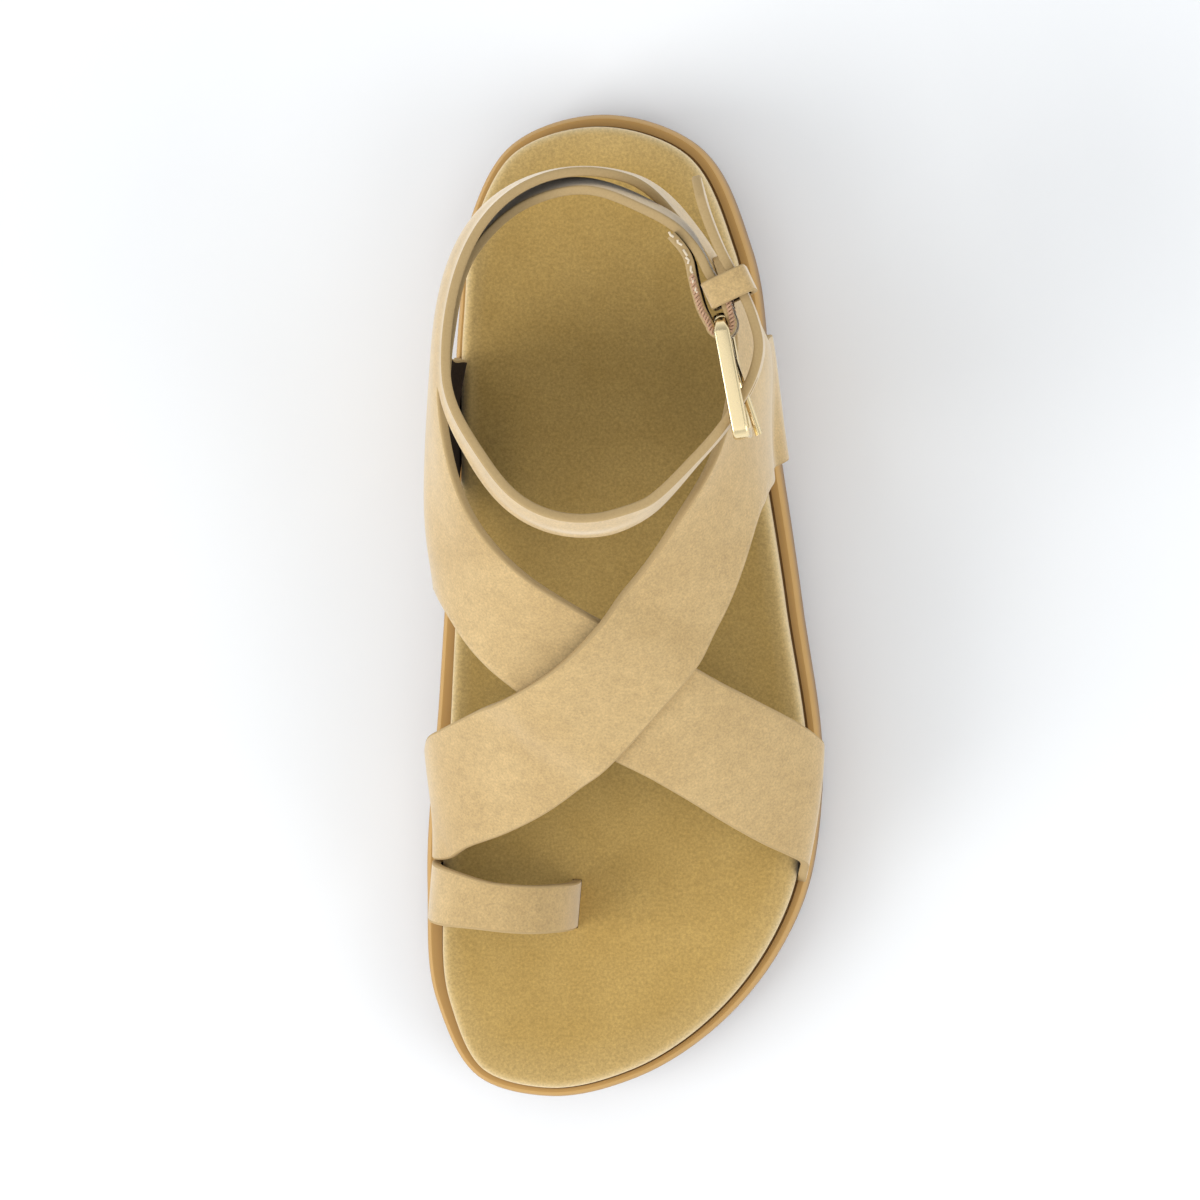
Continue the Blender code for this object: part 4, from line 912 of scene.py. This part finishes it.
def strap_section(width, thick, rounding):
    """Corner points of a strap's cross-section as (out, across), and the kind of face after each."""
    points = []
    kinds = []
    quarter = np.radians((30.0, 60.0, 90.0))
    for side, kind in ((1.0, 0), (-1.0, 2)):
        half_thick = side * thick / 2.0
        half_width = side * width / 2.0
        corner = side * rounding
        for across in np.linspace(corner - half_width, half_width - corner, FACE_POINTS):
            points.append((half_thick, across))
            kinds.append(kind)
        kinds[-1] = 1
        for out, angles in ((1.0, quarter), (-1.0, quarter[::-1])):
            for angle in angles:
                points.append((out * (half_thick - corner * (1.0 - math.cos(angle))),
                               half_width - corner * (1.0 - math.sin(angle))))
                kinds.append(1)
    return np.array(points), kinds


def strip(name, middles, outs, ups, section, spread=1.0, closed=False):
    """A strap of one cross-section along a path, spread in width; outs point to its face, ups across it."""
    points, kinds = section
    ups = unit(ups) * np.reshape(spread, (-1, 1))
    rings = middles[:, None] + points[None, :, :1] * unit(outs)[:, None] + points[None, :, 1:] * ups[:, None]
    count = len(points)
    faces = [(a, d, c, b) for a, b, c, d in ring_faces(len(middles), count, closed)]
    face_kinds = kinds * (len(faces) // count)
    if not closed:
        faces.append(tuple(range(count))[::-1])
        faces.append(tuple((len(middles) - 1) * count + i for i in range(count)))
        face_kinds += [1, 1]
    made = leather_piece(name, rings.reshape(-1, 3), faces, face_kinds)
    made.data.set_sharp_from_angle(angle=math.radians(STRIP_SHARP))
    return made


loop_y = TOE_LOOP_INNER_Y
loop_seat, loop_rim, _ = profile(loop_y)
loop_reach = np.linspace(-0.5, 0.5, 5) * TOE_LOOP_INNER_END
loop_side = float((footbed_side(loop_y + loop_reach, False) - TOE_LOOP_SKEW * loop_reach).min())
loop_side = loop_side - GAP - STRAP_THICK / 2.0
loop_foot = np.array((loop_side, loop_y, loop_rim))
loop_rows = ((loop_side, loop_y, loop_seat + GAP), loop_foot, loop_foot + TOE_LOOP_RISE, *TOE_LOOP,
             (*TOE_SLOT, slot_low + GAP))
loop_middles = path_through(loop_rows, TOE_LOOP_STEP)
loop_ups = np.tile((TOE_LOOP_SKEW, 1.0, 0.0), (len(loop_middles), 1))
loop_outs = np.cross(np.gradient(loop_middles, axis=0), loop_ups)
widening = smooth((TOE_LOOP[1][0] - loop_middles[:, 0]) / (TOE_LOOP[1][0] - loop_side))
loop_spread = 1.0 + widening * (TOE_LOOP_INNER_END / TOE_LOOP_WIDTH - 1.0)
toe_loop = strip("toe_loop_strip", loop_middles, loop_outs, loop_ups,
                 strap_section(TOE_LOOP_WIDTH, STRAP_THICK, EDGE_ROUND), loop_spread)
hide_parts("toe_loop")


# Buckle strap. A second nubuck strap inside the heel band, sewn on at the inner tab. At the outer side it is
# folded round the buckle's pin, slit there for the prong, and sewn back on itself with its knit side showing.
BUCKLE_STRAP = np.array((
    # turn, middle height, stand-off of its middle from the last, lean of its lower edge to the heel band
    (182.0, 79.0, -1.7, 0.0),
    (165.0, 82.0, -1.9, 0.07),
    (140.0, 87.0, -2.2, 0.15),
    (115.0, 93.0, -2.4, 0.19),
    (90.0, 98.5, -2.4, 0.18),
    (65.0, 102.5, -3.0, 0.1),
    (45.0, 105.8, 0.2, 0.0),
))
CHAPE_INSIDE = (
    # way back from the bar, step to the inside of the outer ply
    (4.0, -6.8),
    (9.0, -7.4),
    (13.0, -7.6),
    (17.0, -7.7),
    (21.0, -9.3),
    (23.5, -10.9),
)
BUCKLE_ENTRY = (
    # way back from the bar, step out from the bar's line, where the strap goes under the keeper to the pin
    (17.0, -2.0),
    (13.0, -0.9),
    (8.5, 1.0),
)
BAR_BACK = np.array((38.6, 69.9))
BAR_FRONT = np.array((43.6, 43.0))
FRAME_MIDDLE = 107.2
PIN_RADIUS = 1.3
PRONG_RADIUS = 1.0
FOLD_STEPS = 19
BUCKLE_STRAP_STEP = 1.6
# The strap's width direction is read this far above and below its middle.
UP_REACH = 3.0
SLIT_LONG = 11.0
SLIT_DEEP = 9.0
SLIT_FORWARD = 2.0

bar_along = unit(BAR_FRONT - BAR_BACK)
bar_out = np.array((-bar_along[1], bar_along[0]))
turn, height, stand_off, lean = BUCKLE_STRAP.T
held = on_last(turn, height) + outward(turn, height) * stand_off[:, None]
held_ups = on_last(turn, height + UP_REACH) - on_last(turn, height - UP_REACH)
held_ups = held_ups - outward(turn, height) * 2.0 * UP_REACH * lean[:, None]
fold_radius = PIN_RADIUS + GAP + STRAP_THICK / 2.0
fold = [BAR_BACK + fold_radius * (math.sin(a) * bar_out + math.cos(a) * bar_along)
        for a in np.radians(np.linspace(90.0, -90.0, FOLD_STEPS))]
inner_ply = [BAR_BACK - bar_along * way + bar_out * (fold_radius + step) for way, step in CHAPE_INSIDE]
upright = (0.0, 0.0, 2.0 * UP_REACH)
entry = [(*(BAR_BACK - bar_along * way + bar_out * step), FRAME_MIDDLE, *upright)
         for way, step in BUCKLE_ENTRY]
held_rows = np.vstack((np.hstack((held, held_ups)), entry))
held_route = path_through(np.vstack((held_rows, (*fold[0], FRAME_MIDDLE, *upright))), BUCKLE_STRAP_STEP)
inner_rows = [(*point, FRAME_MIDDLE, *upright) for point in (fold[-1], *inner_ply)]
fold_rows = [(*point, FRAME_MIDDLE, *upright) for point in fold[1:-1]]
route = np.vstack((held_route, fold_rows, path_through(inner_rows, BUCKLE_STRAP_STEP)))
strap_outs = np.cross(route[:, 3:], np.gradient(route[:, :3], axis=0))
buckle_strap = strip("buckle_strap_with_fold", route[:, :3], strap_outs, route[:, 3:],
                     strap_section(BAND_WIDTH, STRAP_THICK, EDGE_ROUND))
slit_size = Matrix.Diagonal((SLIT_LONG * MM, SLIT_DEEP * MM, 2.0 * (PRONG_RADIUS + GAP) * MM, 1.0))
slit_place = Matrix.Translation(metres((*(BAR_BACK + bar_along * SLIT_FORWARD), FRAME_MIDDLE)))
bar_turn = Matrix.Rotation(math.atan2(bar_along[1], bar_along[0]), 4, "Z")
cut_away(buckle_strap, [slit_place @ bar_turn @ slit_size])
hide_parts("buckle_strap")

# Overlock stitching: the knit's raw edges at the fold are bound by looped thread, and the turned-back end is
# caught down by a row of paler stitches whose ends stand out.
OVERLOCK_PITCH = 1.9
OVERLOCK_SWING = 0.5
OVERLOCK_THREAD = 0.32
OVERLOCK_LEAD = 6.0
OVERLOCK_RISE = 0.3
OVERLOCK_STEPS = 12
STITCH_PITCH = 2.4
STITCH_LONG = 1.7
STITCH_THREAD = 0.28
STITCH_LIFT = 0.1
STITCH_CREST = 0.3
STITCH_STRAY = 0.35
THREAD_STEPS = 2


def wire_piece(name, runs, radius, round_steps, material):
    """A round thread or wire laid along some runs of points."""
    curve = bpy.data.curves.new(name, "CURVE")
    curve.dimensions = "3D"
    curve.bevel_depth = radius * MM
    curve.bevel_resolution = round_steps
    curve.use_fill_caps = True
    for run in runs:
        line = curve.splines.new("POLY")
        line.points.add(len(run) - 1)
        for point, at in zip(line.points, metres(run)):
            point.co = (*at, 1.0)
    curve.materials.append(material)
    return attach(put(name, curve), "root")


# Spun polyester thread: dull, each strand lightened and darkened along its twist; rosy brown for the overlock
# and, for the stitches, the same yarn undyed, a dull cream.
TWIST_MM = 0.5
threads = []
for name, dark, pale in (("rosy_brown_spun_thread", "#94694a", "#dcb592"),
                         ("undyed_spun_thread", "#cdb793", "#f2e8d4")):
    thread, tree, shader = new_material(name)
    place = node(tree, "ShaderNodeTexCoord").outputs["Object"]
    twist = node(tree, "ShaderNodeTexNoise", {"Scale": 1.0 / (TWIST_MM * MM), "Detail": 2.0},
                 {"Vector": place})
    tint = node(tree, "ShaderNodeMix", {"data_type": "RGBA", 6: linear(dark), 7: linear(pale)},
                {0: twist.outputs["Fac"]})
    tree.links.new(tint.outputs[2], shader.inputs["Base Color"])
    shader.inputs["Roughness"].default_value = 0.8
    shader.inputs["Sheen Weight"].default_value = 0.3
    threads.append(thread)
brown_thread, pale_thread = threads

overlock_rows = [(*(BAR_BACK - bar_along * OVERLOCK_LEAD + bar_out * fold_radius), 0.0)]
overlock_rows += [(*point, 0.0) for point in (*fold, *inner_ply[:3])]
overlock_step = OVERLOCK_PITCH / OVERLOCK_STEPS
overlock_path = path_through(overlock_rows, overlock_step)
overlock_ahead = np.gradient(overlock_path, axis=0)
overlock_across = unit(np.cross(overlock_ahead, (0.0, 0.0, 1.0)))
overlock_turn = np.arange(len(overlock_path)) * math.tau * overlock_step / OVERLOCK_PITCH
overlock_runs = []
for edge_side in (1.0, -1.0):
    for phase in (0.0, math.pi):
        run = overlock_path + overlock_across * OVERLOCK_SWING * np.sin(overlock_turn + phase)[:, None]
        rise = OVERLOCK_RISE * np.cos(overlock_turn + phase)
        run[:, 2] = FRAME_MIDDLE + edge_side * (BAND_WIDTH / 2.0 + rise)
        overlock_runs.append(run)
overlock = wire_piece("fold_edge_overlock", overlock_runs, OVERLOCK_THREAD, THREAD_STEPS, brown_thread)

stitch_rows = [(*point, FRAME_MIDDLE + BAND_WIDTH / 2.0 + STITCH_LIFT) for point in inner_ply[1:]]
stitch_path = path_through(stitch_rows, STITCH_PITCH)
stitch_ahead = unit(np.gradient(stitch_path, axis=0))
stitch_lean = np.random.default_rng(5).normal(0.0, STITCH_STRAY, stitch_path.shape)
stitch_runs = []
for at, ahead, lean in zip(stitch_path, stitch_ahead, stitch_lean):
    reach = STITCH_LONG / 2.0
    crest = at + np.array((0.0, 0.0, STITCH_CREST))
    stitch_runs.append((at - (ahead + lean) * reach, crest, at + (ahead - lean) * reach))
stitches = wire_piece("turned_end_stitches", stitch_runs, STITCH_THREAD, THREAD_STEPS, pale_thread)


# Keeper. A narrow nubuck ring round the band's free end and the buckle strap, just behind the buckle.
# It is cut thinner than the bands, with the same plain edges.
KEEPER_AT = np.array((40.3, 78.9))
KEEPER_WIDE = 7.0
KEEPER_THICK = 1.5
KEEPER_SPAN = 11.8
KEEPER_CORNER = 1.9
KEEPER_CORNER_STEPS = 8
KEEPER_ROUND = 0.4
KEEPER_TURN = 391.0


def rounded_box(half_long, half_tall, corner, steps):
    """A rounded rectangle about zero, and the direction out of it at each point."""
    points = []
    outs = []
    for quarter, (side, up) in enumerate(((1, 1), (-1, 1), (-1, -1), (1, -1))):
        for angle in np.radians(90.0 * quarter + np.linspace(0.0, 90.0, steps)):
            points.append((side * (half_long - corner) + corner * math.cos(angle),
                           up * (half_tall - corner) + corner * math.sin(angle)))
            outs.append((math.cos(angle), math.sin(angle)))
    return np.array(points), np.array(outs)


free_ahead = flow(FREE_END[:, 0], FREE_END[:, 1:3], np.array((KEEPER_TURN - 1.0, KEEPER_TURN + 1.0)))
keeper_along = unit(free_ahead[1] - free_ahead[0])
keeper_out = np.array((keeper_along[1], -keeper_along[0]))
half_span = KEEPER_SPAN / 2.0 - KEEPER_THICK / 2.0
half_tall = BAND_WIDTH / 2.0 + 2.0 * GAP + KEEPER_THICK / 2.0
keeper_path, keeper_turn = rounded_box(half_span, half_tall, KEEPER_CORNER, KEEPER_CORNER_STEPS)
keeper_middles = [(*(KEEPER_AT + keeper_out * a), FRAME_MIDDLE + b) for a, b in keeper_path]
keeper_outs = [(*(keeper_out * a), b) for a, b in keeper_turn]
keeper_ups = np.tile((*keeper_along, 0.0), (len(keeper_middles), 1))
keeper = strip("keeper_ring", np.array(keeper_middles), np.array(keeper_outs), -keeper_ups,
               strap_section(KEEPER_WIDE, KEEPER_THICK, KEEPER_ROUND), closed=True)
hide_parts("keeper")


# Buckle. A cast frame, flat on its faces and rounded at its edges, with a round pin held in the strap's fold.
# The prong is a bent wire: an eye round the pin and a straight shank through the band to the front bar.
FRAME_WINDOW = 14.4
FRAME_BAR = 2.6
FRAME_DEPTH = 4.0
FRAME_CORNER = 2.0
FRAME_CORNER_STEPS = 12
FRAME_ROUND = 0.7
FRAME_ROUND_STEPS = 5
SLIM_REACH = 2.2
SLIM_RAMP = 2.0
EYE_RADIUS = 2.05
EYE_TURNS = np.linspace(-330.0, -20.0, 26)
SHANK_FROM = 0.5
SHANK_SHARES = np.linspace(0.12, 1.0, 12)
PRONG_WIRE = 0.85
PRONG_STEPS = 4
PRONG_REACH = 1.0

# Frame body: its section is carried round a rounded rectangle and slims down to the pin's size at the pin.
frame_length = float(np.linalg.norm(BAR_FRONT - BAR_BACK))
frame_middle = (BAR_BACK + BAR_FRONT) / 2.0
frame_half_tall = FRAME_WINDOW / 2.0 + FRAME_BAR / 2.0
path, _ = rounded_box(frame_length / 2.0, frame_half_tall, FRAME_CORNER, FRAME_CORNER_STEPS)
path_ahead = np.roll(path, -1, axis=0) - np.roll(path, 1, axis=0)
path_out = unit(np.stack((path_ahead[:, 1], -path_ahead[:, 0]), axis=1))
bar_section, _ = rounded_box(FRAME_BAR / 2.0, FRAME_DEPTH / 2.0, FRAME_ROUND, FRAME_ROUND_STEPS)
frame_rings = []
for centre, direction in zip(path, path_out):
    slim = smooth((SLIM_REACH - centre[0] - frame_length / 2.0) / SLIM_RAMP)
    for wide, deep in bar_section:
        deep = deep * (1.0 - slim * (1.0 - 2.0 * PIN_RADIUS / FRAME_DEPTH))
        at = centre + direction * wide
        plan = frame_middle + bar_along * at[0] + bar_out * deep
        frame_rings.append((*plan, FRAME_MIDDLE + at[1]))
frame_faces = ring_faces(len(path), len(bar_section), closed=True)
buckle_frame = add_piece("buckle_frame_cast", frame_rings, frame_faces)

# Gold-plated zinc: polished, pale and warm, so it mirrors the studio; polishing marks blur it a little. They
# are drawn at 0.5 mm, coarser than real ones.
POLISH_MARK_MM = 0.5
gold, tree, shader = new_material("pale_gold_plated_zinc")
place = node(tree, "ShaderNodeTexCoord").outputs["Object"]
polish = node(tree, "ShaderNodeTexNoise", {"Scale": 1.0 / (POLISH_MARK_MM * MM), "Detail": 2.0},
              {"Vector": place})
gloss = node(tree, "ShaderNodeMapRange", {"To Min": 0.18, "To Max": 0.32}, {"Value": polish.outputs["Fac"]})
tree.links.new(gloss.outputs["Result"], shader.inputs["Roughness"])
shader.inputs["Base Color"].default_value = linear("#f0dcae")
shader.inputs["Metallic"].default_value = 1.0
buckle_frame.data.materials.append(gold)
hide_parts("buckle_frame")

prong_end = BAR_FRONT + bar_out * (FRAME_DEPTH / 2.0 + 3.0 * GAP + PRONG_RADIUS) + bar_along * PRONG_REACH
prong_path = []
for angle in np.radians(EYE_TURNS):
    eye_at = BAR_BACK + EYE_RADIUS * (math.cos(angle) * bar_along - math.sin(angle) * bar_out)
    prong_path.append((*eye_at, FRAME_MIDDLE))
shank_start = BAR_BACK + bar_along * EYE_RADIUS * SHANK_FROM
for share in SHANK_SHARES:
    prong_path.append((*(shank_start + (prong_end - shank_start) * share), FRAME_MIDDLE))
prong = wire_piece("buckle_prong_wire", [prong_path], PRONG_WIRE, PRONG_STEPS, gold)
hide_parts("buckle_prong")


# Studio. A white sweep in a light tent, whose sides are brighter than its top, and the camera high over the
# sandal, almost straight down, a little to its outer side.
TENT_SIDE = 1.25
TENT_TOP = 0.42
FLOOR_SIZE = 6.0
CAMERA_TARGET = metres((0.0, 0.0, 0.0))
CAMERA_PLACE = metres((110.6, 28.0, 1400.0))
PIXELS_PER_MM = 3.75
PHOTO_PIXELS = 1200.0

floor_mesh = bpy.data.meshes.new("floor")
floor_half = FLOOR_SIZE / 2.0
floor_mesh.from_pydata([(-floor_half, -floor_half, 0.0), (floor_half, -floor_half, 0.0),
                        (floor_half, floor_half, 0.0), (-floor_half, floor_half, 0.0)], [], [(0, 1, 2, 3)])
floor = put("floor", floor_mesh)
# Matt white paper: plain and even, so the sandal's soft shadow is all that shows on it.
paper, tree, shader = new_material("white_paper_sweep")
shader.inputs["Base Color"].default_value = linear("#f6f8fa")
shader.inputs["Roughness"].default_value = 0.9
floor_mesh.materials.append(paper)

world = bpy.data.worlds.new("studio")
bpy.context.scene.world = world
world.use_nodes = True
tree = world.node_tree
tree.nodes["Background"].inputs["Color"].default_value = linear("#f4f6f8")
direction = node(tree, "ShaderNodeTexCoord")
upward = node(tree, "ShaderNodeSeparateXYZ", links={"Vector": direction.outputs["Generated"]})
tent = node(tree, "ShaderNodeMapRange", {"From Max": 1.0, "To Min": TENT_SIDE, "To Max": TENT_TOP},
            {"Value": upward.outputs["Z"]})
tree.links.new(tent.outputs["Result"], tree.nodes["Background"].inputs["Strength"])

SOFTBOXES = (
    # name, place in metres, length of its side in metres, power in watts
    ("overhead_softbox", (-0.2, -0.6, 2.6), 2.4, 13.0),
    ("inner_side_softbox", (-2.2, -0.9, 1.5), 1.8, 42.0),
    ("outer_side_softbox", (2.2, -0.9, 1.5), 1.8, 21.0),
)
for name, at, size, power in SOFTBOXES:
    light = bpy.data.lights.new(name, "AREA")
    light.shape = "SQUARE"
    light.size = size
    light.energy = power
    lamp = put(name, light)
    lamp.location = at
    lamp.rotation_euler = (-Vector(at)).to_track_quat("-Z", "Y").to_euler()

view_axis = Vector(CAMERA_TARGET) - Vector(CAMERA_PLACE)
camera_data = bpy.data.cameras.new("photo_camera")
camera_data.sensor_width = 36.0
camera_data.lens = PIXELS_PER_MM * view_axis.length / MM / PHOTO_PIXELS * camera_data.sensor_width
camera_data.clip_start = 0.05
camera = put("photo_camera", camera_data)
camera.location = CAMERA_PLACE
back = -view_axis.normalized()
right = Vector((0.0, 1.0, 0.0)).cross(back).normalized()
camera.rotation_euler = Matrix((right, back.cross(right), back)).transposed().to_euler()
bpy.context.scene.camera = camera
bpy.context.scene.view_settings.view_transform = "Standard"

bpy.context.view_layer.update()
